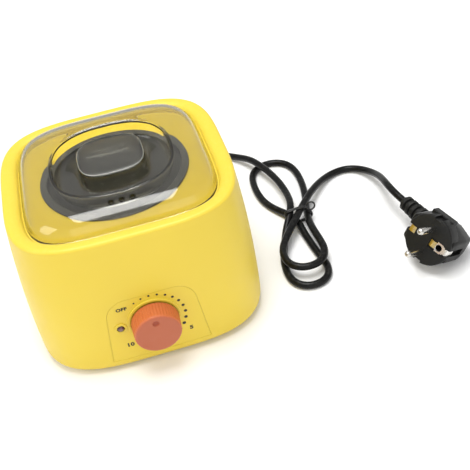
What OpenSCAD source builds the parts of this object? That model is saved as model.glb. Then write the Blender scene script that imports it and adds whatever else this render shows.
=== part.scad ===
// Wax warmer: a bowed square housing with a lift-out pot, a clear lid, a heat dial and a mains lead.
// Millimetres. The origin is on the table under the middle of the housing, +Z up, front towards -Y.

/* [Housing] */
// Width across the flat sides at the rim
body_top_w = 150; // [144:1:164]
// Width across the flat sides at the base
body_base_w = 158.8; // [152:0.2:170]
// Height of the rim above the table
body_h = 106; // [102:1:124]
// Outward bow of the sides at half height
side_bow = 1.9; // [0.5:0.1:3]
// Squareness of the plan outline, where 2 is a circle
plan_power = 3.75; // [3.5:0.05:4.4]
// Wall thickness of the yellow mouldings
wall = 2.4; // [2:0.1:3]
// Rounding of the outer bottom edge
base_edge_r = 7; // [5.5:0.5:8]
// Rounding of the outer rim edge
rim_edge_r = 2.2; // [1.4:0.1:2.4]
// Depth of the lid's seat below the rim
seat_depth = 4.8; // [4:0.1:6]
// Thickness of the deck that carries the pot
deck_t = 2.2; // [1.8:0.1:3]
// Diameter of the screw posts
post_d = 8; // [7:0.5:9]
// Distance of the screw posts from the middle, left and right
post_x = 44; // [42:0.5:46]

/* [Lid] */
// Width across the flat sides of the lid's foot
lid_w = 126.4; // [122:0.2:130]
// Squareness of the lid's foot
lid_power = 4.4; // [4:0.05:4.8]
// Height of the lid's crown above its foot
lid_h = 14; // [12:0.5:18]
// Wall thickness of the lid
lid_wall = 2; // [1.6:0.1:2.4]
// Width of the finger moat across its top edge
moat_w = 79.4; // [76:0.2:84]
// Depth of the finger moat below the crown
moat_depth = 12.2; // [9:0.2:13]
// Width of the moulded grip in the middle
grip_w = 44; // [38:0.5:48]
// Height of the grip's top above the crown
grip_rise = 1.7; // [0:0.1:6]
// Diameter of the steam holes
steam_hole_d = 2.6; // [2:0.1:4]
// Distance between steam holes
steam_hole_step = 6.8; // [5:0.2:8]
// Distance of the steam holes in front of the middle
steam_hole_y = 49.4; // [47:0.2:52]

/* [Pot] */
// Outer diameter of the pot under its flange
pot_d = 92; // [86:0.5:94]
// Narrowing of the pot from top to bottom, on the diameter
pot_taper = 4; // [1:0.5:8]
// Depth of the pot below the deck
pot_depth = 66; // [50:1:70]
// Wall thickness of the pot
pot_wall = 1.4; // [1:0.1:2]
// Width of the pot's flange outside its wall
pot_flange_w = 4; // [2.5:0.5:7]
// Thickness of the pot's flange
pot_flange_t = 1.2; // [0.8:0.1:1.6]

/* [Heater] */
// Radial gap between the pot and the heated well
well_gap = 0.8; // [0.5:0.1:1.5]
// Wall thickness of the heated well
well_wall = 1.5; // [1:0.1:2]
// Gap between the pot's bottom and the well's bottom
well_floor_gap = 1.5; // [1:0.1:3]
// Height of the mica heating band
band_h = 30; // [20:1:36]
// Thickness of the mica heating band
band_t = 1.8; // [1:0.1:2.5]
// Distance of the well's screws outside the well
well_screw_out = 9.7; // [8.7:0.1:11.5]
// Height of the bosses that carry the well
well_boss_h = 6; // [4:0.5:9]

/* [Controls] */
// Height of the dial's axis above the table
dial_z = 38.5; // [36:0.5:42]
// Diameter of the dial at its back edge
dial_d = 31; // [27:0.5:32]
// Height of the dial from its back edge to its face
dial_h = 12.8; // [11:0.2:16]
// Number of grip flutes round the dial
dial_flutes = 48; // [24:4:60]
// Width of the control panel across its shoulders
panel_w = 59; // [58:0.5:64]
// Height of the control panel's top edge above the table
panel_top_z = 60.5; // [59:0.5:66]
// Rounding of the control panel's upper corners
panel_corner_r = 14; // [10:0.5:16]
// Outward lean of the control panel's sides, in degrees
panel_flare = 6; // [2:0.5:8]
// Distance of the indicator lamp left of the dial's axis
lamp_x = 22.4; // [21:0.2:23]
// Diameter of the indicator lamp
lamp_d = 5; // [4:0.5:5]

/* [Lead] */
// Diameter of the mains lead
cord_d = 5.5; // [5:0.1:6]
// Height of the lead's exit above the table
cord_z = 15.5; // [15:0.5:20]
// Distance between the plug's pins
pin_pitch = 19; // [18:0.1:20]
// Diameter of the plug's pins
pin_d = 4.8; // [4:0.1:4.8]
// Length of the plug's pins
pin_len = 19; // [17:0.5:20]
// Diameter of the plug's round front
plug_d = 36.5; // [35:0.5:38]

/* [Hidden] */

$fn = 64;
hull_fn = 32;
plan_steps = 48;
side_steps = 6;

// Fits
slip = 0.05;
clear = 0.3;
seam = 0.15;
bite = 0.5;
through = 1;

// Housing levels
foot_h = 1.8;
foot_d = 14;
foot_seat = 0.8;
foot_edge = 0.8;
foot_inset = [17.2, 25.2];
base_t = 2.5;
base_z = foot_h;
base_top = base_z + base_t;
shell_z = foot_h - clear;
edge_z = shell_z + base_edge_r;
rim_z = body_h - rim_edge_r;
deck_z = body_h - seat_depth;
deck_under = deck_z - deck_t;
post_bore = 14;
corners = [[1, 1], [-1, 1], [-1, -1], [1, -1]];

// Rim and base opening
lid_gap = 0.6;
lip_foot = lid_w / 2 + lid_gap;
rim_mid = (lip_foot + body_top_w / 2) / 2;
rim_power = (lid_power + plan_power) / 2;
base_lip = 1.4;
base_open = half_at(edge_z) - base_edge_r - base_lip;
post_inset = 9.1;
post_y = base_open - post_inset;
foot_x = base_open - foot_inset[0];
foot_y = base_open - foot_inset[1];
slot_w = 3;
slot_l = 34;
slot_pitch = 9;

// Screws: head diameter, head height, shank diameter and length
base_screw = [5.6, 1.8, 2.9, 12];
well_screw = [6, 2, 2.9, 7];
sensor_screw = [4.4, 1.6, 2.4];
board_screw = [4.4, 1.6, 2.2, 6];
clamp_screw = [5.6, 2, 2.9, 10];

// Pot and heated well
pot_flange_d = pot_d + 2 * pot_flange_w;
pot_edge_r = 6;
well_r = pot_d / 2 + well_gap;
well_out = well_r + well_wall;
well_top = deck_under - clear;
well_floor = deck_z - pot_depth - well_floor_gap;
well_under = well_floor - well_wall;
well_flange_z = deck_under - well_boss_h - well_wall;
well_boss_d = 8.4;
well_lip = 4;
well_screw_r = well_out + well_screw_out;
well_bore = 6;
ear_w = 12;
band_z = (well_floor + well_flange_z) / 2 - band_h / 2;
band_r = well_out + slip;
strap_r = band_r + band_t + slip;
strap_t = 0.8;
strap_gap = 8;
strap_ear = 10;
strap_h = 12;
strap_z = band_z + (band_h - strap_h) / 2;
band_screw_x = strap_r + strap_ear - 4;
// Diameter of the strap's bolt, then the diameter and height of its head and of its nut
band_bolt = [3, 5.5, 2.4, 6.3, 2.4];

// Sensors under the well: the thermostat in the middle and the fuse beside it
sensor_pitch = 24;
sensor_d = 16.6;
sensor_h = 9;
sensor_ear = [7, 1];
sensor_blade = [0.8, 6.3, 8];
sensor_blade_x = 4;
fuse_y = 26;
fuse_drop = 2.2;
fuse_body = [4, 12];
fuse_wire = [1, 34];
clip_w = 5;
clip_h = 5.2;
clip_t = 0.8;
clip_half = 3;
clip_screw = 6;

// Dial and control panel, measured out from the middle along the dial's axis
dial_face = half_at(dial_z);
collar_h = 0.8;
collar_d = 35.4;
collar_top = dial_face + collar_h;
panel_t = wall + 1.6;
pad_t = 1.2;
lamp_ring = [3.4, 0.5];
panel_flange = 3;
panel_foot_z = edge_z + 1.5;
pad_face = dial_face - panel_t - pad_t;
pad_d = 20;
shaft_d = 6;
bush_d = 7;
bush_out = 4.2;
bush_top = collar_top + bush_out;
washer_t = 0.8;
washer_d = 13;
nut_t = 2;
nut_d = 11.5;
pot_switch_d = 17;
pot_switch_h = 9;
board_t = 1.6;
board_face = pad_face - pot_switch_h - slip;
board_back = board_face - board_t;
board_w = 54;
board_low = -19;
board_high = 17;
board_holes = [[24, -15], [-24, -15], [17, 13], [-17, 13]];
boss_d = 6;
boss_bore = 5;
dial_gap = 0.5;
dial_back = collar_top + dial_gap;
dial_boss = 5;
dial_wall = 1.8;
dial_taper = 0.4;
dial_edge_r = 1.8;
dial_skin = 2.2;
flute_depth = 0.35;
pointer_r = 9.6;
pointer_d = 6.7;
pointer_up = 2.6;

// Pieces on the board: corner and size, seen from the front, with their depth behind the board
triac = [3, 1, 10, 9, 4.5];
triac_tab = [3, 9, 10, 6.5, 1.3];
capacitor = [-18, 1, 17, 7, 8];
terminals = [-16, -18.5, 32, 8, 8];
terminal_pitch = 7.5;
terminal_d = 3;
terminal_z = dial_z + terminals[1];
terminal_y = terminals[4] / 2 - board_back;
tube_fuse_at = [-14, -6];
tube_fuse = [5, 20];
tube_fuse_cap = [6, 4.5];

// Lead, gland and clamp
cord_r = cord_d / 2;
gland_wall = half_at(cord_z);
gland_grow = 5;
gland_lip = 4;
gland_neck_d = cord_d + gland_grow;
gland_flange_d = gland_neck_d + gland_lip;
gland_ribs = 3;
gland_rib_t = 0.8;
gland_tip = dial_back + dial_h;
gland_len = gland_tip - gland_wall;
clamp_inset = 17;
clamp_y = gland_wall - clamp_inset;
clamp_gap = 0.4;
clamp_w = 28;
clamp_l = 8;
clamp_bar = 4;
clamp_pitch = 20;
tail_free = 8;
tail_end = clamp_y - tail_free;

// Leads inside the housing
lead_d = 2;
lead_sides = 6;
core_x = 1.2;
core_up = 1.6;
lead_drop = 5;
earth_run_r = strap_r + strap_t + lead_d;
earth_lug_r = well_out + well_lip / 2;
earth_angle = 64;
heater_run_r = strap_r + 7;
heater_run_step = 4;
heater_lug_r = band_r + band_t + lead_d / 2 + slip;
heater_angle = -20;
heater_angle_step = 7;

// Plug: where its face lies, how it is turned, and its parts behind the face
plug_at = [194.6, -63.4, 24.75];
plug_turn = [-62, -11, 114];
plug_front_t = 10;
plug_back_z = 34;
relief_base = [19, 0, -24.5];
relief_tilt = 10;
relief_len = 24;
relief_ribs = 4;
relief_seat = 5;
relief_grow = 4;
pin_root = [1.2, 9];
notch = [6, 2.2];
earth_x = 10;
earth_d = 5;
earth_depth = 15;
strip_w = 5;
strip_t = 0.8;
plate_w = 6.4;
plate_x = 2;

// The lead's route on the table: out of the gland, one long bend behind the housing, up over its own
// loop to the tie, round the lower loop, back under the tie, round the upper loop, through the tie
// again, round the second lower loop, a last time through the tie and across to the plug
route_points = [
    [0, 118, 15.2], [1, 130, 13.4], [5.5, 140.5, 10.2], [14, 149.5, 6.2], [26, 155.5, 3.6], [40, 157, 2.8],
    [54.5, 155, 2.8], [68.5, 148.5, 2.8], [82, 138.5, 2.8], [95.5, 126, 3], [104.5, 115.5, 5.4],
    [111, 103.5, 9.4], [116, 91.5, 9.8], [120.5, 79, 9.6], [123.5, 66, 9.6], [125, 53, 9.8],
    [125, 40, 10.6], [123.5, 29, 11.9], [119.5, 18.5, 11.3], [113, 9, 6.6], [108.5, -0.5, 3],
    [105, -10.5, 2.8], [101.5, -20.5, 2.8], [100, -30.5, 2.8], [100, -40, 2.8], [103, -48.5, 2.8],
    [110, -53.5, 2.8], [119.5, -53.5, 2.8], [126.5, -48.5, 2.8], [129.5, -40, 2.8], [128.5, -30.5, 2.8],
    [127, -20, 2.8], [126, -9.5, 2.8], [125, 1, 3.2], [124.5, 11.5, 4.8], [122.5, 21.5, 5.2],
    [117.5, 31, 3.8], [111.5, 41, 2.8], [107, 52, 2.8], [105.5, 64, 2.8], [105.5, 76, 2.8],
    [107, 87, 2.8], [111.5, 95.5, 2.8], [120, 100, 2.8], [129, 100, 2.8], [137.5, 95.5, 2.8],
    [142, 87, 2.8], [143.5, 76, 2.8], [143, 64.5, 2.8], [141.5, 53, 2.8], [139, 42, 2.9],
    [136, 31, 3.8], [133.5, 20.5, 5], [131.5, 10, 7.6], [130.5, 0, 9.4], [131, -9.5, 9.6],
    [131.5, -18.5, 9.5], [131.5, -27, 9.5], [128.5, -35.5, 9.5], [121, -41, 9.5], [111, -41, 9.5],
    [103.5, -35.5, 9.5], [101, -27, 9.5], [102, -17.5, 9.5], [106.5, -8.5, 9.9], [112.5, -0.5, 10.6],
    [119, 8, 11.2], [125.5, 16.5, 11.4], [132, 25, 11.3], [138.5, 33.5, 10.7], [145.5, 42.5, 9.2],
    [153.5, 52, 6.6], [162, 60, 4], [171.5, 65, 2.9], [181.5, 66, 2.8], [190, 61.5, 3.4],
    [195, 53, 5.6], [197.5, 43, 9], [198, 33, 12.8], [197, 22, 17], [195.5, 11, 20.6]
];
cord_straight = 4;
cord_sides = 8;
cord_steps = 1;
gap_steps = 8;
gland_exit = [0, gland_tip, cord_z];
plug_entry = plug_at + turned(relief_base + relief_len * relief_dir(), plug_turn);
plug_out = turned(relief_dir(), plug_turn);
cord_route = concat(
    [for (k = [0:3]) gland_exit + k * cord_straight * [0, 1, 0]],
    route_points,
    [for (k = [3:-1:0]) plug_entry + k * cord_straight * plug_out]
);

// The tie round the lead's four strands, seen along the strands
tie_y = 19;
tie_strands = [[119.2, 10.6], [122.5, 4.8], [127.4, 11.3], [133.3, 5.6]];
tie_gap = 0.9;
tie_t = 1;
tie_w = 1.6;
tie_loop = [136.6, 13.4, 3.2];

// Half the housing's width at a height
function half_at(z) =
    let (t = z / body_h)
    body_base_w / 2 + (body_top_w - body_base_w) / 2 * t + side_bow * 4 * t * (1 - t);

// Plan outlines: rounded squares of a given half width, power and height
function signed_pow(v, p) = sign(v) * pow(abs(v), p);
function plan_point(h, power, t) =
    [h * signed_pow(cos(t), 2 / power), h * signed_pow(sin(t), 2 / power)];
function plan(h, power) =
    [for (i = [0:plan_steps - 1]) plan_point(h, power, 360 * i / plan_steps)];
function ring(r) = [for (p = plan(r[0], r[1])) [p[0], p[1], r[2]]];
function ring_at(j, i) = j * plan_steps + i % plan_steps;
function quad(a, b, c, d) = [[a, b, c], [a, c, d]];

// Directions after turning about X, then Y, then Z
function turn_x(v, a) = [v[0], v[1] * cos(a) - v[2] * sin(a), v[1] * sin(a) + v[2] * cos(a)];
function turn_y(v, a) = [v[0] * cos(a) + v[2] * sin(a), v[1], v[2] * cos(a) - v[0] * sin(a)];
function turn_z(v, a) = [v[0] * cos(a) - v[1] * sin(a), v[0] * sin(a) + v[1] * cos(a), v[2]];
function turned(v, a) = turn_z(turn_y(turn_x(v, a[0]), a[1]), a[2]);
function round_at(r, a, z) = [r * cos(a), r * sin(a), z];
function relief_dir() = [cos(relief_tilt), 0, -sin(relief_tilt)];

// A smooth curve led by control points, which starts and ends on the first and last of them
function spline(a, b, c, d, t) =
    (pow(1 - t, 3) * a + (3 * pow(t, 3) - 6 * t * t + 4) * b
        + (3 * t + 3 * t * t - 3 * pow(t, 3) + 1) * c + pow(t, 3) * d) / 6;
function curve(p, steps) =
    let (n = len(p), q = concat([2 * p[0] - p[1]], p, [2 * p[n - 1] - p[n - 2]]))
    concat(
        [for (i = [0:n - 2], j = [0:steps - 1])
            spline(q[i], q[i + 1], q[i + 2], q[i + 3], j / steps)],
        [p[n - 1]]
    );
function unit(v) = v / norm(v);
function tube_ring(path, i, r, sides, up) =
    let (
        along = unit(path[min(i + 1, len(path) - 1)] - path[max(i - 1, 0)]),
        side = unit(cross(along, up)),
        over = cross(side, along)
    )
    [for (k = [0:sides - 1]) let (a = 360 * k / sides)
        path[i] + r * (cos(a) * side + sin(a) * over)];
function run_length(p, i = 0) = i > len(p) - 2 ? 0 : norm(p[i + 1] - p[i]) + run_length(p, i + 1);

// Points set evenly between the points of a path
function fill(p, steps) =
    [for (i = [0:len(p) - 2], j = [0:steps - 1]) p[i] + (p[i + 1] - p[i]) * j / steps];

// Least gap between stretches of a tube that lie more than a number of points apart along it
function own_gap(p, apart, d) =
    min([for (i = [0:len(p) - apart - 1], j = [i + apart:len(p) - 1]) norm(p[i] - p[j])]) - d;

// A closed skin through rings, with a point at each end
module loft(rings, first, last) {
    k = len(rings);
    points = concat([for (r = rings) each ring(r)], [first, last]);
    faces = concat(
        [for (i = [0:plan_steps - 1]) [k * plan_steps, ring_at(0, i + 1), ring_at(0, i)]],
        [for (j = [0:k - 2], i = [0:plan_steps - 1])
            each quad(ring_at(j, i), ring_at(j, i + 1), ring_at(j + 1, i + 1), ring_at(j + 1, i))],
        [for (i = [0:plan_steps - 1]) [k * plan_steps + 1, ring_at(k - 1, i), ring_at(k - 1, i + 1)]]
    );
    polyhedron(points, faces);
}

// A closed skin through rings, the last of which meets the first
module wrap(rings) {
    k = len(rings);
    points = [for (r = rings) each ring(r)];
    faces = [for (j = [0:k - 1], i = [0:plan_steps - 1]) let (n = (j + 1) % k)
        each quad(ring_at(j, i), ring_at(j, i + 1), ring_at(n, i + 1), ring_at(n, i))];
    polyhedron(points, faces);
}

// A round tube along a path
module tube(path, r, sides, up = [0, 0, 1]) {
    k = len(path);
    points = [for (i = [0:k - 1]) each tube_ring(path, i, r, sides, up)];
    faces = concat(
        [for (i = [1:sides - 2]) [0, i + 1, i]],
        [for (j = [0:k - 2], i = [0:sides - 1]) let (n = (i + 1) % sides, e = j * sides, f = e + sides)
            each quad(e + i, e + n, f + n, f + i)],
        [for (i = [1:sides - 2]) let (e = (k - 1) * sides) [e, e + i, e + i + 1]]
    );
    polyhedron(points, faces);
}

// Places a shape on the dial's axis, with its own Z pointing out of the front
module on_dial() {
    translate([0, 0, dial_z]) rotate([90, 0, 0]) children();
}

// Places a shape on the lead's exit axis, with its own Z pointing out of the back
module on_exit() {
    translate([0, 0, cord_z]) rotate([-90, 0, 0]) children();
}

// Places a shape in the plug's own frame: X towards the lead, Y along the pins, Z out of the face
module on_plug() {
    translate(plug_at) rotate(plug_turn) children();
}

// A ring or disc between two heights
module disc(d, low, high) {
    translate([0, 0, low]) cylinder(d = d, h = high - low);
}

// A screw that points up, with the underside of its head at z = 0
module screw(s) {
    disc(s[0], -s[1], 0);
    disc(s[2], -bite, s[3]);
}

// Room for a screw's shank
module pilot(s, low, high) {
    disc(s[2] + 2 * slip, low, high);
}

// Rings of the housing's outer skin between two offsets, over the height of its sides
function side_z(k) = edge_z + (rim_z - edge_z) * k / side_steps;
function side_rings(inset) =
    [for (k = [0:side_steps]) [half_at(side_z(k)) - inset, plan_power, side_z(k)]];
function flip(list) = [for (i = [len(list) - 1:-1:0]) list[i]];

function shell_outside() = concat(
    [
        [lip_foot, lid_power, deck_z],
        [lip_foot + 1, lid_power, deck_z + seat_depth * 0.5],
        [lip_foot + 2.8, rim_power, body_h - 1],
        [rim_mid, plan_power, body_h - 0.1]
    ],
    [for (a = [90:-30:30])
        [half_at(rim_z) - rim_edge_r * (1 - cos(a)), plan_power, rim_z + rim_edge_r * sin(a)]],
    flip(side_rings(0)),
    [for (a = [22.5:22.5:90])
        [half_at(edge_z) - base_edge_r * (1 - cos(a)), plan_power, edge_z - base_edge_r * sin(a)]]
);

function shell_inside() =
    let (r = base_edge_r - wall)
    concat(
        [[base_open, plan_power, shell_z], [base_open, plan_power, edge_z - r]],
        [for (a = [90:-30:30])
            [half_at(edge_z) - base_edge_r + r * cos(a), plan_power, edge_z - r * sin(a)]],
        side_rings(wall),
        [
            [half_at(rim_z) - wall - 0.8, plan_power, body_h - wall],
            [rim_mid + 0.6, plan_power, body_h - wall],
            [lip_foot + 3.8, rim_power, body_h - wall - 1.2],
            [lip_foot + 1.7, lid_power, deck_under]
        ]
    );

// The control panel's outline, drawn in by a margin
function arch(margin) =
    let (
        r = panel_corner_r - margin,
        x = panel_w / 2 - panel_corner_r,
        z = panel_top_z - panel_corner_r,
        low = panel_foot_z + margin,
        foot = x + r * cos(panel_flare) + (z + r * sin(panel_flare) - low) * tan(panel_flare)
    )
    concat(
        [[foot, low]],
        [for (k = [0:8]) let (a = panel_flare + (90 - panel_flare) * k / 8)
            [x + r * cos(a), z + r * sin(a)]],
        [for (k = [0:8]) let (a = 90 + (90 - panel_flare) * k / 8)
            [-x + r * cos(a), z + r * sin(a)]],
        [[-foot, low]]
    );

module arch_block(margin) {
    rotate([90, 0, 0]) translate([0, 0, half_at(panel_top_z) / 2])
        linear_extrude(body_base_w / 2) polygon(arch(margin));
}

// The band of the housing's sides between two depths below its surface
module side_band(outer, inner) {
    wrap(concat(flip(side_rings(outer)), side_rings(inner)));
}

module outer_shell() {
    color([0.96, 0.85, 0.33]) difference() {
        union() {
            loft(concat(shell_outside(), shell_inside()), [0, 0, deck_z], [0, 0, deck_under]);
            for (c = corners) {
                translate([c[0] * post_x, c[1] * post_y, 0]) disc(post_d, base_top, deck_under + bite);
            }
            for (a = [45:90:315]) {
                rotate(a) translate([well_screw_r, 0, 0])
                    disc(well_boss_d, deck_under - well_boss_h, deck_under + bite);
            }
        }
        disc(2 * well_r, deck_under - through, deck_z + through);
        arch_block(0);
        on_exit() disc(gland_neck_d + 2 * slip, clamp_y, gland_tip);
        for (c = corners) {
            translate([c[0] * post_x, c[1] * post_y, 0])
                pilot(base_screw, base_top - through, base_top + post_bore);
        }
        for (a = [45:90:315]) {
            rotate(a) translate([well_screw_r, 0, 0])
                pilot(well_screw, deck_under - well_boss_h - through, deck_under - well_boss_h + well_bore);
        }
    }
}

module control_panel() {
    color([0.95, 0.84, 0.33]) difference() {
        union() {
            intersection() {
                side_band(0, panel_t);
                arch_block(seam);
            }
            intersection() {
                side_band(wall + slip, panel_t);
                arch_block(-panel_flange);
            }
            on_dial() {
                disc(collar_d, dial_face - wall, collar_top);
                disc(pad_d, pad_face, dial_face - wall);
                translate([-lamp_x, 0, 0])
                    disc(lamp_d + lamp_ring[0], dial_face - wall, dial_face + lamp_ring[1]);
                for (h = board_holes) translate(h) disc(boss_d, board_face + slip, dial_face - wall);
            }
        }
        on_dial() {
            disc(bush_d + 2 * slip, board_face, collar_top + through);
            translate([-lamp_x, 0, 0]) disc(lamp_d + 2 * slip, board_face, collar_top + through);
            for (h = board_holes) translate(h) pilot(board_screw, board_face, board_face + boss_bore);
        }
    }
}

module base_plate() {
    saddle_top = cord_z - clamp_gap;
    color([0.93, 0.82, 0.32]) difference() {
        union() {
            translate([0, 0, base_z]) linear_extrude(base_t)
                polygon(plan(base_open - clear, plan_power));
            translate([-clamp_w / 2, clamp_y - clamp_l / 2, base_top - bite])
                cube([clamp_w, clamp_l, saddle_top - base_top + bite]);
        }
        for (c = corners) {
            translate([c[0] * post_x, c[1] * post_y, 0]) {
                pilot(base_screw, 0, base_top + through);
                disc(base_screw[0] + 2 * clear, 0, base_z + base_screw[1] - clear);
            }
            translate([c[0] * foot_x, c[1] * foot_y, 0])
                disc(foot_d + 2 * slip, 0, base_z + foot_seat);
        }
        for (i = [-3:3]) {
            translate([i * slot_pitch - slot_w / 2, -slot_l / 2, 0])
                cube([slot_w, slot_l, base_top + through]);
        }
        on_exit() disc(cord_d + 2 * slip, clamp_y - clamp_l, clamp_y + clamp_l);
        for (s = [-1, 1]) {
            translate([s * clamp_pitch / 2, clamp_y, 0]) pilot(clamp_screw, base_top + through, cord_z);
        }
    }
}

module rubber_feet() {
    r = foot_d / 2;
    top = base_z + foot_seat;
    color([0.13, 0.13, 0.13])
        for (c = corners) {
            translate([c[0] * foot_x, c[1] * foot_y, 0]) rotate_extrude()
                polygon([[0, 0], [r - foot_edge, 0], [r, foot_edge], [r, top], [0, top]]);
        }
}

module base_screws() {
    color("silver")
        for (c = corners) {
            translate([c[0] * post_x, c[1] * post_y, base_z + base_screw[1] - clear]) screw(base_screw);
        }
}

module heater_well() {
    color([0.78, 0.79, 0.8]) difference() {
        union() {
            rotate_extrude() polygon([
                [0, well_under], [well_out, well_under], [well_out, well_top], [well_r, well_top],
                [well_r, well_floor], [0, well_floor]
            ]);
            difference() {
                union() {
                    disc(2 * (well_out + well_lip), well_flange_z, well_flange_z + well_wall);
                    for (a = [45:90:315]) {
                        rotate(a) {
                            translate([0, -ear_w / 2, well_flange_z])
                                cube([well_screw_r, ear_w, well_wall]);
                            translate([well_screw_r, 0, 0])
                                disc(ear_w, well_flange_z, well_flange_z + well_wall);
                        }
                    }
                }
                disc(2 * well_r + well_wall, well_flange_z - through, well_flange_z + well_wall + through);
            }
        }
        for (a = [45:90:315]) {
            rotate(a) translate([well_screw_r, 0, 0])
                pilot(well_screw, well_flange_z - through, well_flange_z + well_wall + through);
        }
    }
}

module well_screws() {
    color("silver")
        for (a = [45:90:315]) rotate(a) translate([well_screw_r, 0, well_flange_z]) screw(well_screw);
}

module heating_band() {
    color([0.55, 0.5, 0.42]) difference() {
        disc(2 * (band_r + band_t), band_z, band_z + band_h);
        disc(2 * band_r, band_z - through, band_z + band_h + through);
        translate([0, -strap_gap / 4, band_z - through])
            cube([strap_r + strap_ear, strap_gap / 2, band_h + 2 * through]);
    }
}

module band_strap() {
    color([0.7, 0.7, 0.72]) difference() {
        union() {
            disc(2 * (strap_r + strap_t), strap_z, strap_z + strap_h);
            for (s = [-1, 1]) {
                translate([strap_r, s * (strap_gap + strap_t) / 2 - strap_t / 2, strap_z])
                    cube([strap_ear, strap_t, strap_h]);
            }
        }
        disc(2 * strap_r, strap_z - through, strap_z + strap_h + through);
        translate([0, -strap_gap / 2, strap_z - through])
            cube([strap_r + strap_ear + through, strap_gap, strap_h + 2 * through]);
        translate([band_screw_x, 0, strap_z + strap_h / 2]) rotate([90, 0, 0])
            cylinder(d = band_bolt[0] + 2 * slip, h = 2 * strap_gap, center = true);
    }
}

module band_screw() {
    y = strap_gap / 2 + strap_t;
    color("silver") translate([band_screw_x, 0, strap_z + strap_h / 2]) rotate([90, 0, 0]) {
        disc(band_bolt[0], -y - band_bolt[4] - through, y + bite);
        disc(band_bolt[1], y, y + band_bolt[2]);
        translate([0, 0, -y - band_bolt[4]]) cylinder(d = band_bolt[3], h = band_bolt[4], $fn = 6);
    }
}

module thermostat() {
    color([0.2, 0.2, 0.22]) difference() {
        union() {
            disc(sensor_d, well_under - sensor_h, well_under);
            translate([0, 0, well_under - sensor_ear[1]]) linear_extrude(sensor_ear[1]) {
                square([sensor_pitch, sensor_ear[0]], center = true);
                for (s = [-1, 1]) translate([s * sensor_pitch / 2, 0]) circle(d = sensor_ear[0]);
            }
            for (s = [-1, 1]) {
                translate([s * sensor_blade_x, 0, well_under - sensor_h - sensor_blade[2] / 2 + bite])
                    cube(sensor_blade, center = true);
            }
        }
        for (s = [-1, 1]) translate([s * sensor_pitch / 2, 0, 0])
            pilot(sensor_screw, well_under - sensor_ear[1] - through, well_under + through);
    }
}

module thermal_fuse() {
    color([0.85, 0.82, 0.75]) translate([0, fuse_y, well_under - fuse_drop]) rotate([0, 90, 0]) {
        cylinder(d = fuse_body[0], h = fuse_body[1], center = true);
        cylinder(d = fuse_wire[0], h = fuse_wire[1], center = true);
    }
}

module fuse_clip() {
    color("silver") translate([-clip_w / 2, fuse_y, 0]) difference() {
        union() {
            translate([0, -clip_half, well_under - clip_h]) cube([clip_w, 2 * clip_half, clip_h]);
            translate([0, -clip_half, well_under - clip_t])
                cube([clip_w, clip_screw + 2 * clip_half, clip_t]);
        }
        translate([-through, 0, well_under - fuse_drop]) rotate([0, 90, 0])
            cylinder(d = fuse_body[0] + 2 * slip, h = clip_w + 2 * through);
        translate([clip_w / 2, clip_screw, 0])
            pilot(sensor_screw, well_under - clip_t - through, well_under + through);
    }
}

module sensor_screws() {
    places = [
        [-sensor_pitch / 2, 0, sensor_ear[1]],
        [sensor_pitch / 2, 0, sensor_ear[1]],
        [0, fuse_y + clip_screw, clip_t]
    ];
    color("silver") for (p = places) translate([p[0], p[1], well_under - p[2]]) {
        disc(sensor_screw[0], -sensor_screw[1], 0);
        disc(sensor_screw[2], -bite, p[2]);
    }
}

module potentiometer() {
    color([0.3, 0.32, 0.35]) on_dial() difference() {
        union() {
            disc(pot_switch_d, pad_face - pot_switch_h, pad_face);
            disc(bush_d, pad_face - bite, bush_top);
        }
        disc(shaft_d + 2 * slip, pad_face - pot_switch_h / 2, bush_top + through);
    }
}

module panel_washer() {
    color("silver") on_dial() difference() {
        disc(washer_d, collar_top, collar_top + washer_t);
        disc(bush_d + 2 * slip, collar_top - through, collar_top + washer_t + through);
    }
}

module panel_nut() {
    color("silver") on_dial() difference() {
        translate([0, 0, collar_top + washer_t]) cylinder(d = nut_d, h = nut_t, $fn = 6);
        disc(bush_d + 2 * slip, collar_top, collar_top + washer_t + nut_t + through);
    }
}

module control_board() {
    color([0.12, 0.42, 0.22]) on_dial() difference() {
        translate([-board_w / 2, board_low, board_back])
            cube([board_w, board_high - board_low, board_t]);
        for (h = board_holes) translate(h)
            pilot(board_screw, board_back - through, board_face + through);
    }
}

module board_screws() {
    color("silver") on_dial()
        for (h = board_holes) translate([h[0], h[1], board_back]) screw(board_screw);
}

// A block on the board's back
module on_board(b) {
    translate([b[0], b[1], board_back - b[4]]) cube([b[2], b[3], b[4]]);
}

module power_triac() {
    color([0.15, 0.15, 0.16]) on_dial() {
        on_board(triac);
        on_board(triac_tab);
    }
}

module film_capacitor() {
    color([0.75, 0.25, 0.15]) on_dial() on_board(capacitor);
}

module glass_fuse() {
    up = board_back - tube_fuse_cap[0] / 2 - 2 * slip;
    color([0.8, 0.82, 0.85]) on_dial()
        translate([tube_fuse_at[0], tube_fuse_at[1], up]) rotate([0, 90, 0]) {
            disc(tube_fuse[0], 0, tube_fuse[1]);
            disc(tube_fuse_cap[0], 0, tube_fuse_cap[1]);
            disc(tube_fuse_cap[0], tube_fuse[1] - tube_fuse_cap[1], tube_fuse[1]);
        }
}

module terminal_block() {
    color([0.2, 0.45, 0.3]) on_dial() difference() {
        on_board(terminals);
        for (k = [-1.5:1.5]) {
            translate([k * terminal_pitch, 0, -terminal_y]) rotate([90, 0, 0])
                disc(terminal_d, 0, through - terminals[1]);
        }
    }
}

module indicator_lamp() {
    r = lamp_d / 2;
    color([0.32, 0.16, 0.2]) on_dial() translate([-lamp_x, 0, 0]) {
        rotate_extrude() polygon(concat(
            [[0, board_face], [r, board_face]],
            [for (a = [0:15:90]) [r * cos(a), dial_face - 0.6 + r * sin(a) * 0.8]]
        ));
    }
}

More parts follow.
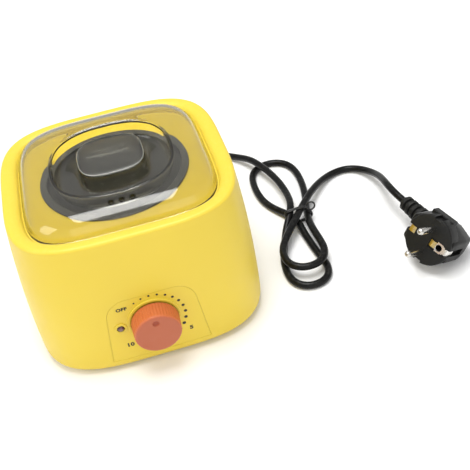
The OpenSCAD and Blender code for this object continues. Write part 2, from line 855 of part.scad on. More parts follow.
// A lead inside the housing, from the clamped end of the sheath to the control board
function inner_lead(x, end_x) = [
    [x, tail_end - slip, cord_z],
    [x, tail_end * 0.85, cord_z - lead_drop * 0.2],
    [x, tail_end * 0.64, cord_z - lead_drop * 0.8],
    [x + end_x * 0.3, tail_end * 0.2, cord_z - lead_drop],
    [end_x, terminal_y * 0.5, cord_z - lead_drop],
    [end_x, terminal_y * 0.86, cord_z - lead_drop * 0.4],
    [end_x, terminal_y, terminal_z - lead_drop * 0.54],
    [end_x, terminal_y, terminal_z - slip]
];

// The earth lead rises beside the heater to the well's lip
function earth_route() = [
    [0, tail_end - slip, cord_z + core_up],
    [0, tail_end * 0.87, cord_z + core_up],
    [core_x * 5, tail_end * 0.84, cord_z + lead_drop * 0.8],
    round_at(earth_run_r, earth_angle + 12, cord_z + lead_drop * 1.8),
    round_at(earth_run_r, earth_angle + 4, cord_z + lead_drop * 3.4),
    round_at(earth_run_r, earth_angle, cord_z + lead_drop * 5),
    round_at(earth_run_r, earth_angle, band_z + band_h),
    round_at(earth_lug_r, earth_angle, well_flange_z - lead_drop),
    round_at(earth_lug_r, earth_angle, well_flange_z)
];

// A heater lead swings round under the well and ends on the heating band
function heater_route(s) =
    let (
        x = (s + 0.5) * terminal_pitch,
        r = heater_run_r + s * heater_run_step,
        a = heater_angle + s * heater_angle_step
    )
    [
        [x, terminal_y, terminal_z - slip],
        [x, terminal_y, terminal_z - lead_drop * 0.5],
        [x + lead_drop * 2, terminal_y * 0.97, terminal_z - lead_drop * 0.9],
        round_at(r, heater_angle - 33, cord_z),
        round_at(r, heater_angle - 16, cord_z + lead_drop * 1.6),
        round_at(r, a - 3, band_z - lead_drop * 2.4),
        round_at(heater_lug_r, a, band_z - lead_drop * 0.6),
        round_at(heater_lug_r, a, band_z + lead_drop * 0.4),
        round_at(heater_lug_r, a, band_z + lead_drop)
    ];

module lead(points) {
    tube(curve(points, 2), lead_d / 2, lead_sides, [1, 0, 0]);
}

module live_lead() {
    color([0.45, 0.25, 0.12]) lead(inner_lead(-core_x, -1.5 * terminal_pitch));
}

module neutral_lead() {
    color([0.15, 0.3, 0.7]) lead(inner_lead(core_x, -0.5 * terminal_pitch));
}

module earth_lead() {
    color([0.5, 0.65, 0.15]) lead(earth_route());
}

module heater_leads() {
    color([0.85, 0.85, 0.82]) for (s = [0, 1]) lead(heater_route(s));
}

module cord_gland() {
    r = gland_neck_d / 2;
    tip_r = cord_r + 1.4;
    back = gland_wall - wall;
    rim = gland_flange_d / 2;
    step = (gland_len - gland_lip) / gland_ribs;
    color([0.1, 0.1, 0.1]) on_exit() rotate_extrude() polygon(concat(
        [
            [cord_r + slip, back - 3], [rim, back - 3], [rim, back - 0.2], [r, back - 0.2],
            [r, gland_wall + 0.1], [rim, gland_wall + 0.1],
            [rim, gland_wall + 2], [rim - gland_rib_t, gland_wall + 2.6]
        ],
        [for (k = [0:gland_ribs - 1])
            let (z = gland_wall + gland_lip + k * step, w = r - (r - tip_r) * k / gland_ribs)
            each [
                [w - gland_rib_t, z - 0.6], [w, z - 0.2],
                [w, z + step * 0.45], [w - gland_rib_t, z + step * 0.55]
            ]
        ],
        [[tip_r, gland_tip], [cord_r + slip, gland_tip]]
    ));
}

module cord_tail() {
    color([0.12, 0.12, 0.12]) on_exit() disc(cord_d, tail_end, gland_tip);
}

module cord_clamp() {
    low = cord_z + clamp_gap;
    color([0.85, 0.85, 0.83]) difference() {
        translate([-clamp_w / 2, clamp_y - clamp_l / 2, low]) cube([clamp_w, clamp_l, clamp_bar]);
        on_exit() disc(cord_d + 2 * slip, clamp_y - clamp_l, clamp_y + clamp_l);
        for (s = [-1, 1]) {
            translate([s * clamp_pitch / 2, clamp_y, 0])
                pilot(clamp_screw, low - through, low + clamp_bar + through);
        }
    }
}

module clamp_screws() {
    color("silver")
        for (s = [-1, 1]) {
            translate([s * clamp_pitch / 2, clamp_y, cord_z + clamp_gap + clamp_bar])
                rotate([180, 0, 0]) screw(clamp_screw);
        }
}

module mains_cord() {
    path = curve(cord_route, cord_steps);
    color([0.12, 0.12, 0.12]) tube(path, cord_r, cord_sides);
    echo(
        lead_length = run_length(path),
        lead_least_gap_to_itself = own_gap(fill(path, gap_steps), 3 * gap_steps, cord_d)
    );
}

// Outline round the strands that the tie holds, seen along them
module tie_outline(grow) {
    hull() for (p = tie_strands) translate(p) circle(r = cord_r + grow, $fn = hull_fn);
}

module cord_tie() {
    color([0.06, 0.06, 0.06]) translate([0, tie_y, 0]) rotate([90, 0, 0]) {
        translate([0, 0, -tie_w / 2]) linear_extrude(tie_w) difference() {
            tie_outline(tie_gap + tie_t);
            tie_outline(tie_gap);
        }
        translate([tie_loop[0], tie_loop[1], 0])
            rotate_extrude() translate([tie_loop[2], 0]) circle(d = tie_t);
    }
}

// Outline of the plug's grip behind its round front, with a blunt nose away from the lead
grip_outline = [
    [19, -9], [13, -13.5], [-4, -13.5], [-18, -8], [-18, 8], [-4, 13.5], [13, 13.5], [19, 9]
];
grip_taper = [0.84, 0.72];

module plug_body() {
    color([0.1, 0.1, 0.1]) on_plug() difference() {
        union() {
            rotate_extrude() polygon([
                [0, 0], [plug_d / 2 - 1, 0], [plug_d / 2, -1], [plug_d / 2, -plug_front_t + 1],
                [plug_d / 2 - 1, -plug_front_t], [0, -plug_front_t]
            ]);
            hull() {
                translate([0, 0, -plug_front_t * 2]) linear_extrude(plug_front_t + bite)
                    polygon(grip_outline);
                translate([0, 0, -plug_back_z]) linear_extrude(1)
                    scale(grip_taper) polygon(grip_outline);
            }
        }
        for (s = [-1, 1]) {
            translate([-notch[0] / 2, s * plug_d / 2 - notch[1], -plug_front_t])
                cube([notch[0], 2 * notch[1], plug_front_t + through]);
            translate([s * plug_d / 2 - 2, -strip_w / 2 - slip, -plug_front_t + 1])
                cube([4, strip_w + 2 * slip, plug_front_t]);
            translate([0, s * pin_pitch / 2, 0])
                disc(pin_d - pin_root[0] + 2 * slip, -pin_root[1], through);
        }
        translate([-earth_x, 0, 0]) disc(earth_d, -earth_depth, through);
        translate([-plug_d / 2, -plate_w / 2 - slip, -strip_t])
            cube([plug_d / 2 - plate_x + slip, plate_w + 2 * slip, strip_t + through]);
        translate(relief_base) rotate([0, 90 + relief_tilt, 0])
            disc(cord_d + relief_grow, -relief_seat, relief_len);
    }
}

module plug_relief() {
    big = cord_r + 3.9;
    small = cord_r + 2.7;
    step = relief_len / (relief_ribs + 0.6);
    core = cord_r + relief_grow / 2 - slip;
    low = slip - relief_seat;
    color([0.11, 0.11, 0.11]) on_plug() translate(relief_base) rotate([0, 90 + relief_tilt, 0])
        rotate_extrude() polygon(concat(
            [[0, low], [core, low], [core, 3]],
            [for (k = [0:relief_ribs - 1])
                let (z = 3.4 + k * step, w = big - (big - small) * k / relief_ribs)
                each [[w - 1.4, z], [w, z + 0.5], [w, z + step * 0.6], [w - 1.4, z + step * 0.7]]
            ],
            [[small - 0.6, relief_len - 1], [small - 1.4, relief_len], [0, relief_len]]
        ));
}

module plug_pins() {
    r = pin_d / 2;
    color([0.85, 0.85, 0.83]) on_plug() for (s = [-1, 1]) translate([0, s * pin_pitch / 2, 0]) {
        disc(pin_d - pin_root[0], slip - pin_root[1], bite);
        rotate_extrude() polygon([
            [0, slip], [r, slip], [r, pin_len - 2], [r - 0.5, pin_len - 0.7], [r - 1.3, pin_len],
            [0.5, pin_len], [0.4, pin_len - 0.8], [0, pin_len - 0.8]
        ]);
    }
}

module plug_earth() {
    edge = plug_d / 2 - 1.6;
    color([0.83, 0.66, 0.3]) on_plug() difference() {
        union() {
            for (s = [-1, 1]) {
                translate([s * edge - strip_t / 2, -strip_w / 2, -plug_front_t + 1 + slip])
                    cube([strip_t, strip_w, plug_front_t - 1 - slip]);
            }
            translate([-edge, -plate_w / 2, slip - strip_t])
                cube([edge - plate_x, plate_w, strip_t - slip]);
        }
        translate([-earth_x, 0, 0]) disc(earth_d, -strip_t - through, through);
    }
}

module wax_pot() {
    r = pot_d / 2;
    low = r - pot_taper / 2;
    floor_z = deck_z - pot_depth;
    edge = pot_edge_r;
    flange = pot_flange_d / 2;
    top = deck_z + pot_flange_t;
    color([0.33, 0.33, 0.34]) rotate_extrude() polygon(concat(
        [[0, floor_z]],
        [for (a = [-90:30:0]) [low - edge + edge * cos(a), floor_z + edge + edge * sin(a)]],
        [
            [r, deck_z], [flange - 0.3, deck_z], [flange, (deck_z + top) / 2],
            [flange - 0.3, top], [r - pot_wall + 0.5, top], [r - pot_wall, top - 0.5]
        ],
        [for (a = [0:-30:-90]) [
            low - edge + (edge - pot_wall) * cos(a), floor_z + edge + (edge - pot_wall) * sin(a)
        ]],
        [[0, floor_z + pot_wall]]
    ));
}

// The lid's section, from the top of the grip out to its foot, for a depth below its outer face
lid_foot = deck_z + clear;
lid_crown = lid_foot + lid_h;
grip_top = lid_crown + grip_rise;
moat_z = lid_crown - moat_depth;
moat_power = 2.5;
grip_power = 3;

function lid_rings(t) =
    let (h = lid_w / 2, m = moat_w / 2, g = grip_w / 2)
    [
        [g * 0.55, grip_power, grip_top - t],
        [g - 1.2 - t * 0.5, grip_power, grip_top - 0.3 - t],
        [g - t * 0.9, grip_power, grip_top - 1.4 - t * 0.6],
        [g + 0.5 - t, grip_power, (grip_top + moat_z) / 2],
        [g + 1.2 - t, grip_power, moat_z + 1.8 - t * 0.4],
        [g + 2.6 - t * 0.6, grip_power, moat_z + 0.3 - t],
        [m - 4.2 + t * 0.6, moat_power, moat_z + 0.3 - t],
        [m - 2.8 + t, moat_power, moat_z + 1.8 - t * 0.4],
        [m - 1.4 + t, moat_power, (lid_crown + moat_z) / 2],
        [m - 0.3 + t * 0.8, moat_power, lid_crown - 0.9 - t * 0.7],
        [m + 1 + t * 0.4, moat_power + 0.05, lid_crown - 0.1 - t],
        [m + 6.5, 2.9, lid_crown - 0.1 - t],
        [h - 10.4 - t * 0.2, 3.5, lid_crown - 1 - t],
        [h - 5.4 - t * 0.5, 4, lid_crown - 2.8 - t * 0.9],
        [h - 2.4 - t * 0.8, 4.2, lid_crown - 5.6 - t * 0.6],
        [h - 0.8 - t, 4.35, lid_crown - 9.4 - t * 0.2],
        [h - t, lid_power, lid_foot]
    ];

module lid() {
    color([0.75, 0.73, 0.6, 0.45]) difference() {
        loft(
            concat(lid_rings(0), flip(lid_rings(lid_wall))),
            [0, 0, grip_top + 0.1],
            [0, 0, grip_top - lid_wall]
        );
        for (i = [-1:1]) translate([i * steam_hole_step, -steam_hole_y, 0])
            disc(steam_hole_d, lid_foot + lid_h / 2, lid_crown + through);
    }
}

// The dial's outline with its grip flutes
function fluted(r) =
    [for (i = [0:dial_flutes * 4 - 1])
        let (a = 360 * i / (dial_flutes * 4), w = r - (i % 4 > 1 ? flute_depth : 0))
        [w * cos(a), w * sin(a)]];

module dial_knob() {
    r = dial_d / 2;
    face_r = r - dial_taper;
    edge = dial_edge_r;
    bore_low = bush_top + 2 * clear - dial_back;
    color([0.88, 0.47, 0.25]) on_dial() translate([0, 0, dial_back]) difference() {
        intersection() {
            linear_extrude(dial_h) polygon(fluted(r));
            rotate_extrude() polygon(concat(
                [[0, 0], [r, 0], [r, 0.6]],
                [for (a = [0:15:90])
                    [face_r - edge * (1 - cos(a)), dial_h - 0.3 - edge * (1 - sin(a))]],
                [[0, dial_h]]
            ));
        }
        difference() {
            disc(2 * (r - dial_wall), -through, dial_h - dial_skin);
            disc(shaft_d + dial_boss, bore_low, dial_h);
        }
        disc(shaft_d + 2 * slip, -through, dial_h - dial_skin);
        translate([0, pointer_r, dial_h + pointer_up]) sphere(d = pointer_d);
    }
}

module dial_shaft() {
    color("silver") on_dial()
        disc(shaft_d, pad_face - pot_switch_h / 2 + clear, dial_back + dial_h - dial_skin - slip);
}

outer_shell();
control_panel();
base_plate();
rubber_feet();
base_screws();
heater_well();
well_screws();
heating_band();
band_strap();
band_screw();
thermostat();
thermal_fuse();
fuse_clip();
sensor_screws();
potentiometer();
panel_washer();
panel_nut();
control_board();
board_screws();
power_triac();
film_capacitor();
glass_fuse();
terminal_block();
indicator_lamp();
live_lead();
neutral_lead();
earth_lead();
heater_leads();
cord_gland();
cord_tail();
cord_clamp();
clamp_screws();
mains_cord();
cord_tie();
plug_body();
plug_relief();
plug_pins();
plug_earth();
wax_pot();
lid();
dial_knob();
dial_shaft();
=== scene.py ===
import math
from contextlib import contextmanager

import bmesh
import bpy
from mathutils import Matrix, Vector


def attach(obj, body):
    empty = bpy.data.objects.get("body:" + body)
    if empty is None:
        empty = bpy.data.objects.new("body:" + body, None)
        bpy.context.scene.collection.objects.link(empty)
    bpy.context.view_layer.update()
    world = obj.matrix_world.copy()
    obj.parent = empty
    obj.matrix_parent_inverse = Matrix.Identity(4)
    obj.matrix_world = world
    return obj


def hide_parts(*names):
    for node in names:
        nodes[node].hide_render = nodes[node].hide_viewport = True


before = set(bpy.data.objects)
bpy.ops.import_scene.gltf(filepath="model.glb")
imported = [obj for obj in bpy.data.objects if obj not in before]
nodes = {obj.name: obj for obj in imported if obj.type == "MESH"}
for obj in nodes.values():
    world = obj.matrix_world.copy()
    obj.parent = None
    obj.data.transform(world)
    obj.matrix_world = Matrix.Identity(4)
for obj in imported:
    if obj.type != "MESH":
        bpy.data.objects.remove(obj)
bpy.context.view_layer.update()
print("frame loaded:", len(nodes), "nodes")


# camera of the photo, for a square frame
photoCamera = {
    "place": (0.0040, -0.4676, 0.4193),
    "right": (0.9585, -0.2524, -0.1326),
    "up": (0.2630, 0.6029, 0.7532),
    "back": (-0.1102, -0.7568, 0.6443),
    "lens": 64.43,
    "sensor": 36.0,
    "nearest": 0.01,
}


def placeCamera(view):
    lens = bpy.data.cameras.new("photoCamera")
    lens.sensor_width = view["sensor"]
    lens.lens = view["lens"]
    lens.clip_start = view["nearest"]
    obj = bpy.data.objects.new("photoCamera", lens)
    axes = Matrix((view["right"], view["up"], view["back"])).transposed().to_4x4()
    obj.matrix_world = Matrix.Translation(view["place"]) @ axes
    bpy.context.scene.collection.objects.link(obj)
    bpy.context.scene.camera = obj


placeCamera(photoCamera)
print("camera placed")


# mesh helpers
def setSharp(mesh, angle):
    mesh.shade_smooth()
    mesh.set_sharp_from_angle(angle=math.radians(angle))


def addObject(name, mesh, sharpAngle=35):
    setSharp(mesh, sharpAngle)
    obj = bpy.data.objects.new(name, mesh)
    bpy.context.scene.collection.objects.link(obj)
    return obj


@contextmanager
def openMesh(mesh):
    bm = bmesh.new()
    bm.from_mesh(mesh)
    yield bm
    bm.to_mesh(mesh)
    bm.free()


def fixNormals(obj):
    with openMesh(obj.data) as bm:
        bmesh.ops.remove_doubles(bm, verts=bm.verts, dist=1e-7)
        bmesh.ops.recalc_face_normals(bm, faces=bm.faces)
    return obj


def clearSlivers(obj, reach=1e-6):  # takes out the faces without area that a cut can leave
    with openMesh(obj.data) as bm:
        bmesh.ops.dissolve_degenerate(bm, edges=bm.edges, dist=reach)
        bmesh.ops.triangulate(bm, faces=[f for f in bm.faces if len(f.verts) > 4])
        bmesh.ops.dissolve_degenerate(bm, edges=bm.edges, dist=reach)
    return obj


def closedMesh(name, verts, faces, sharpAngle=35):  # its faces are turned outwards
    mesh = bpy.data.meshes.new(name)
    mesh.from_pydata(verts, [], faces)
    mesh.validate()
    return fixNormals(addObject(name, mesh, sharpAngle))


def meshOf(obj):  # the mesh with the object's modifiers or letters worked out
    bpy.context.view_layer.update()
    return bpy.data.meshes.new_from_object(obj.evaluated_get(bpy.context.evaluated_depsgraph_get()))


def cutWith(obj, cutter, how="DIFFERENCE"):
    cut = obj.modifiers.new("cut", "BOOLEAN")
    cut.operation = how
    cut.solver = "EXACT"
    cut.object = cutter
    mesh = meshOf(obj)
    obj.modifiers.clear()
    obj.data = mesh
    bpy.data.objects.remove(cutter)
    return clearSlivers(obj)


def joined(name, *objs):  # several meshes as one object
    mesh = bpy.data.meshes.new(name)
    with openMesh(mesh) as bm:
        for obj in objs:
            bm.from_mesh(obj.data)
            bpy.data.objects.remove(obj)
    return addObject(name, mesh)


def arc(degrees):  # cosine and sine of some angles
    return [(math.cos(math.radians(x)), math.sin(math.radians(x))) for x in degrees]


def circle(steps):
    return arc(360 * i / steps for i in range(steps))


def wallFaces(rows, count, loop=False):  # quads between rows of points, each row closed on itself
    faces = []
    for j in range(rows if loop else rows - 1):
        low, high = j * count, (j + 1) % rows * count
        for i in range(count):
            k = (i + 1) % count
            faces.append((low + i, low + k, high + k, high + i))
    return faces


def tubeFaces(rows, count):  # the same with both ends closed
    total = rows * count
    return wallFaces(rows, count) + [tuple(range(count)), tuple(range(total - count, total))]


def loftMesh(name, outlines, place):  # (x, y) lists of equal count at heights
    count = len(outlines[0][0])
    verts = [place(x, y, z) for line, z in outlines for x, y in line]
    return closedMesh(name, verts, tubeFaces(len(outlines), count))


def latheMesh(name, profile, steps, place):  # profile of (radius, height), a ring where it keeps off the axis
    verts, rows = [], []
    for r, h in profile:
        if r == 0:
            rows.append([len(verts)] * steps)
            verts.append(place(0, 0, h))
        else:
            rows.append(range(len(verts), len(verts) + steps))
            verts += [place(r * c, r * s, h) for c, s in circle(steps)]
    if profile[0][0] and profile[-1][0]:
        rows.append(rows[0])
    faces = []
    for low, high in zip(rows, rows[1:]):
        for i in range(steps):
            n = (i + 1) % steps
            loop = list(dict.fromkeys((low[i], low[n], high[n], high[i])))
            if len(loop) > 2:
                faces.append(loop)
    return closedMesh(name, verts, faces)


def drill(name, radius, low, high, steps, place):  # a plain round bar to cut with
    return latheMesh(name, [(0, low), (radius, low), (radius, high), (0, high)], steps, place)


def upright(x, y, z):
    return (x, y, z)


def shifted(place, dx, dy):  # the same axes with their middle moved
    return lambda x, y, z: place(x + dx, y + dy, z)


def headings(points):  # the way a line runs at each of its points
    last = len(points) - 1
    return [(points[min(i + 1, last)] - points[max(i - 1, 0)]).normalized() for i in range(last + 1)]


def sweepTube(name, path, radius, sides):  # a round tube along points, with UVs along its run
    points = [Vector(p) for p in path]
    verts, along = [], [0.0]
    side = headings(points)[0].cross(Vector((0, 0, 1))).normalized()
    for p, ahead in zip(points, headings(points)):
        side = (side - ahead * side.dot(ahead)).normalized()
        over = side.cross(ahead)
        verts += [p + radius * (c * side + s * over) for c, s in circle(sides)]
    for a, b in zip(points, points[1:]):
        along.append(along[-1] + (b - a).length)
    obj = closedMesh(name, verts, tubeFaces(len(points), sides), 50)
    layer = obj.data.uv_layers.new(name="run")
    for face in obj.data.polygons:
        if face.loop_total != 4:
            continue
        corners = [(x, obj.data.loops[x].vertex_index) for x in face.loop_indices]
        ks = [v % sides for x, v in corners]
        wraps = max(ks) - min(ks) > 1
        for x, v in corners:
            k = sides if wraps and v % sides == 0 else v % sides
            layer.data[x].uv = (k / sides, along[v // sides] / (2 * math.pi * radius))
    return obj


def splineThrough(ctrl, per):  # uniform cubic curve led by its points, ending on the first and last
    p = [Vector(x) for x in ctrl]
    q = [2 * p[0] - p[1]] + p + [2 * p[-1] - p[-2]]
    out = []
    for i in range(len(p) - 1):
        a, b, c, d = q[i:i + 4]
        for j in range(per):
            t = j / per
            out.append(((1 - t) ** 3 * a + (3 * t ** 3 - 6 * t * t + 4) * b
                        + (3 * t + 3 * t * t - 3 * t ** 3 + 1) * c + t ** 3 * d) / 6)
    return out + [p[-1]]


# mains lead: out of the gland, round behind the housing, three loops through the tie, then the plug
mainsLead = {
    "exit": (0.0, 0.09366, 0.0155),
    "out": (0.0, 1.0, 0.0),
    "plugEntry": (0.199656, -0.012525, 0.019674),
    "plugOut": (-0.259458, 0.959709, 0.107885),
    "straight": 0.004,
    "diameter": 0.0055,
    "perSpan": 6,
    "sides": 20,
    "lies": 0.0028,   # height of the points that give none
    "points": [
        (0, 0.118, 0.0152), (0.001, 0.13, 0.0134), (0.0055, 0.1405, 0.0102), (0.014, 0.1495, 0.0062),
        (0.026, 0.1555, 0.0036), (0.04, 0.157), (0.0545, 0.155), (0.0685, 0.1485), (0.082, 0.1385),
        (0.0955, 0.126, 0.003), (0.1045, 0.1155, 0.0054), (0.111, 0.1035, 0.0094), (0.116, 0.0915, 0.0098),
        (0.1205, 0.079, 0.0096), (0.1235, 0.066, 0.0096), (0.125, 0.053, 0.0098), (0.125, 0.04, 0.0106),
        (0.1235, 0.029, 0.0119), (0.1195, 0.0185, 0.0113), (0.113, 0.009, 0.0066), (0.1085, -0.0005, 0.003),
        (0.105, -0.0105), (0.1015, -0.0205), (0.1, -0.0305), (0.1, -0.04), (0.103, -0.0485),
        (0.11, -0.0535), (0.1195, -0.0535), (0.1265, -0.0485), (0.1295, -0.04), (0.1285, -0.0305),
        (0.127, -0.02), (0.126, -0.0095), (0.125, 0.001, 0.0032), (0.1245, 0.0115, 0.0048),
        (0.1225, 0.0215, 0.0052), (0.1175, 0.031, 0.0038), (0.1115, 0.041), (0.107, 0.052), (0.1055, 0.064),
        (0.1055, 0.076), (0.107, 0.087), (0.1115, 0.0955), (0.12, 0.1), (0.129, 0.1), (0.1375, 0.0955),
        (0.142, 0.087), (0.1435, 0.076), (0.143, 0.0645), (0.1415, 0.053), (0.139, 0.042, 0.0029),
        (0.136, 0.031, 0.0038), (0.1335, 0.0205, 0.005), (0.1315, 0.01, 0.0076), (0.1305, 0, 0.0094),
        (0.131, -0.0095, 0.0096), (0.1315, -0.0185, 0.0095), (0.1315, -0.027, 0.0095),
        (0.1285, -0.0355, 0.0095), (0.121, -0.041, 0.0095), (0.111, -0.041, 0.0095),
        (0.1035, -0.0355, 0.0095), (0.101, -0.027, 0.0095), (0.102, -0.0175, 0.0095),
        (0.1065, -0.0085, 0.0099), (0.1125, -0.0005, 0.0106), (0.119, 0.008, 0.0112),
        (0.1255, 0.0165, 0.0114), (0.132, 0.025, 0.0113), (0.1385, 0.0335, 0.0107),
        (0.1455, 0.0425, 0.0092), (0.1535, 0.052, 0.0066), (0.162, 0.06, 0.004), (0.1715, 0.065, 0.0029),
        (0.1815, 0.066), (0.19, 0.0615, 0.0034), (0.195, 0.053, 0.0056), (0.1975, 0.043, 0.009),
        (0.198, 0.033, 0.0128), (0.197, 0.022, 0.017), (0.1955, 0.011, 0.0206),
    ],
}


def leadPath(lead):
    head = [Vector(lead["exit"]) + k * lead["straight"] * Vector(lead["out"]) for k in range(4)]
    tail = [Vector(lead["plugEntry"]) + k * lead["straight"] * Vector(lead["plugOut"]) for k in (3, 2, 1, 0)]
    between = [(*p, lead["lies"])[:3] for p in lead["points"]]
    return splineThrough(head + between + tail, lead["perSpan"])


def makeLead(lead):
    path = leadPath(lead)
    length = sum((b - a).length for a, b in zip(path, path[1:]))
    obj = sweepTube("mainsLead", path, lead["diameter"] / 2, lead["sides"])
    return obj, path, length


leadTube, leadLine, leadLength = makeLead(mainsLead)
print("lead laid:", round(leadLength, 4), "m")


# wire tie round the four strands of the bundle, with its twisted end
wireTie = {
    "y": 0.019,
    "strands": [(0.1192, 0.0106), (0.1225, 0.0048), (0.1274, 0.0113), (0.1333, 0.0056)],
    "stand": 0.00372,   # from a strand's middle to the wire's middle
    "wire": 0.00065,
    "turns": 2,
    "pitch": 0.0014,
    "ringAt": (0.1366, 0.0134),
    "ringRadius": 0.0030,
    "ringFrom": 200,
    "ringSweep": -330,
    "ringSway": 0.0011,
    "twistTurns": 3.2,
    "twistReach": (0.0003, 0.00055, 0.0005),
    "twistMeets": (-0.94, -0.3),   # where the twist joins the ring, in ring radii
    "twistWire": 0.9,
}


def hullRound(centres, radius, steps):  # points round circles, as a stretched band would lie
    dots = sorted((x + radius * c, z + radius * s) for x, z in centres for c, s in circle(steps))
    halves = []
    for run in (dots, dots[::-1]):
        half = []
        for p in run:
            while len(half) > 1:
                (ax, az), (bx, bz) = half[-2], half[-1]
                if (bx - ax) * (p[1] - az) - (bz - az) * (p[0] - ax) > 0:
                    break
                half.pop()
            half.append(p)
        halves += half[:-1]
    return halves


def tieWraps(tie):
    band = hullRound(tie["strands"], tie["stand"], 40)
    twisted = max(range(len(band)), key=lambda i: band[i][0] + 2 * band[i][1])  # at the upper right
    wraps = []
    for i in range(tie["turns"] * len(band) + 1):
        x, z = band[(twisted + i) % len(band)]
        wraps.append((x, tie["y"] + tie["pitch"] * (i / len(band) - tie["turns"] / 2), z))
    return wraps


def tieRing(tie, steps=40):  # the loose end, curled into a ring
    (cx, cz), r = tie["ringAt"], tie["ringRadius"]
    ring = []
    for k in range(steps + 1):
        a = math.radians(tie["ringFrom"] + tie["ringSweep"] * k / steps)
        sway = tie["ringSway"] * math.sin(a * 0.5)
        ring.append((cx + r * math.cos(a), tie["y"] + sway, cz + r * math.sin(a)))
    return ring


def tieTwist(tie, start, turn, steps=32):  # one of the two ends that are wound round each other
    (cx, cz), r, (mx, mz) = tie["ringAt"], tie["ringRadius"], tie["twistMeets"]
    dx, dy, dz = tie["twistReach"]
    first = Vector((start[0], tie["y"], start[2]))
    last = Vector((cx + mx * r, tie["y"], cz + mz * r))
    twist = []
    for k in range(steps + 1):
        a = turn + 2 * math.pi * tie["twistTurns"] * k / steps
        around = Vector((dx * math.cos(a), dy * math.sin(a), dz * math.cos(a)))
        twist.append(first.lerp(last, k / steps) + around)
    return twist


def makeTie(tie):
    wraps = tieWraps(tie)
    pieces = [sweepTube("tieWrap", wraps, tie["wire"], 10)]
    pieces.append(sweepTube("tieRing", tieRing(tie), tie["wire"], 10))
    thin = tie["wire"] * tie["twistWire"]
    for turn in (0, math.pi):
        pieces.append(sweepTube("tieTwist", tieTwist(tie, wraps[0], turn), thin, 8))
    return joined("wireTie", *pieces)


tieWire = makeTie(wireTie)
print("tie made")


# housing: a bowed rounded square, drawn by rings of half width, squareness and height
housing = {
    "baseHalf": 0.0794,
    "topHalf": 0.075,
    "height": 0.106,
    "bow": 0.0019,
    "power": 3.75,
    "wall": 0.0024,
    "baseEdge": 0.007,
    "rimEdge": 0.0022,
    "foot": 0.0015,
    "deck": 0.1012,
    "deckThick": 0.0022,
    "deckRings": [(0.0525, 2.15), (0.0585, 2.9), (0.0630, 4.2)],   # from the round hole to the square lip
    "lidPower": 4.4,
    "lip": 0.0638,
    "lipRise": [(0.0, 0.0), (0.0004, 0.0012), (0.0010, 0.0025)],
    "rimRoll": [(0.0666, 4.08, 0.1050), (0.0694, 3.75, 0.1059)],
    "inner": {"rim": 0.0704, "lip": 0.0655, "rise": 0.0024},   # under the rim, under the lip, above the foot
    "hole": 0.0468,
    "holeEdge": 0.0004,
    "baseOpen": 0.0712,
    "steps": 192,
    "sideSteps": 24,
    "leadHole": (0.0155, 0.0053, 0.07, 0.09),   # height, radius and where the drill runs
    "basePost": (0.0015, 0.004, 0.0043, 0.0995, 0.014),   # bore, radius, low, high and the bore's depth
    "baseAt": (0.044, 0.0621),
    "wellPost": (0.0015, 0.0042, 0.0930, 0.0995, 0.006),
    "wellAt": 0.0580,
}


def halfAt(z):
    t = z / housing["height"]
    taper = (housing["topHalf"] - housing["baseHalf"]) * t
    return housing["baseHalf"] + taper + housing["bow"] * 4 * t * (1 - t)


def planPoint(half, power, c, s):  # a point of the rounded square on the ray with this cosine and sine
    r = half / (abs(c) ** power + abs(s) ** power) ** (1 / power)
    return r * c, r * s


def ringMesh(name, rings, steps, loop=False, ends=False, sharpAngle=35):
    verts = [(*planPoint(half, power, c, s), z) for half, power, z in rings for c, s in circle(steps)]
    faces = wallFaces(len(rings), steps, loop)
    if ends:  # a point in the middle of each end
        for first, z in ((0, rings[0][2]), ((len(rings) - 1) * steps, rings[-1][2])):
            faces += [(len(verts), first + i, first + (i + 1) % steps) for i in range(steps)]
            verts.append((0, 0, z))
    return closedMesh(name, verts, faces, sharpAngle)


def smoothRings(rings, per):  # a smooth section through a few rings, paced so that it never swings out
    pts = [Vector(r) for r in rings]
    last = len(pts) - 1
    gap = [math.sqrt(math.hypot(b[0] - a[0], b[2] - a[2])) for a, b in zip(rings, rings[1:])]

    def lean(i, span):
        if i == 0 or i == last:
            return pts[min(i + 1, last)] - pts[max(i - 1, 0)]
        a, b, c = pts[i - 1], pts[i], pts[i + 1]
        return span * ((b - a) / gap[i - 1] - (c - a) / (gap[i - 1] + gap[i]) + (c - b) / gap[i])

    out = []
    for i in range(last):
        b, c, u, v = pts[i], pts[i + 1], lean(i, gap[i]), lean(i + 1, gap[i])
        for j in range(per):
            t = j / per
            out.append(b + u * t + (3 * (c - b) - 2 * u - v) * t * t + (2 * (b - c) + u + v) * t ** 3)
    return [tuple(v) for v in out + [pts[-1]]]


def sideRings(inset, count):  # the bowed side from the rim's edge down to the foot's
    low, high = housing["foot"] + housing["baseEdge"], housing["height"] - housing["rimEdge"]
    levels = [high + (low - high) * k / count for k in range(count + 1)]
    return [(halfAt(z) - inset, housing["power"], z) for z in levels]


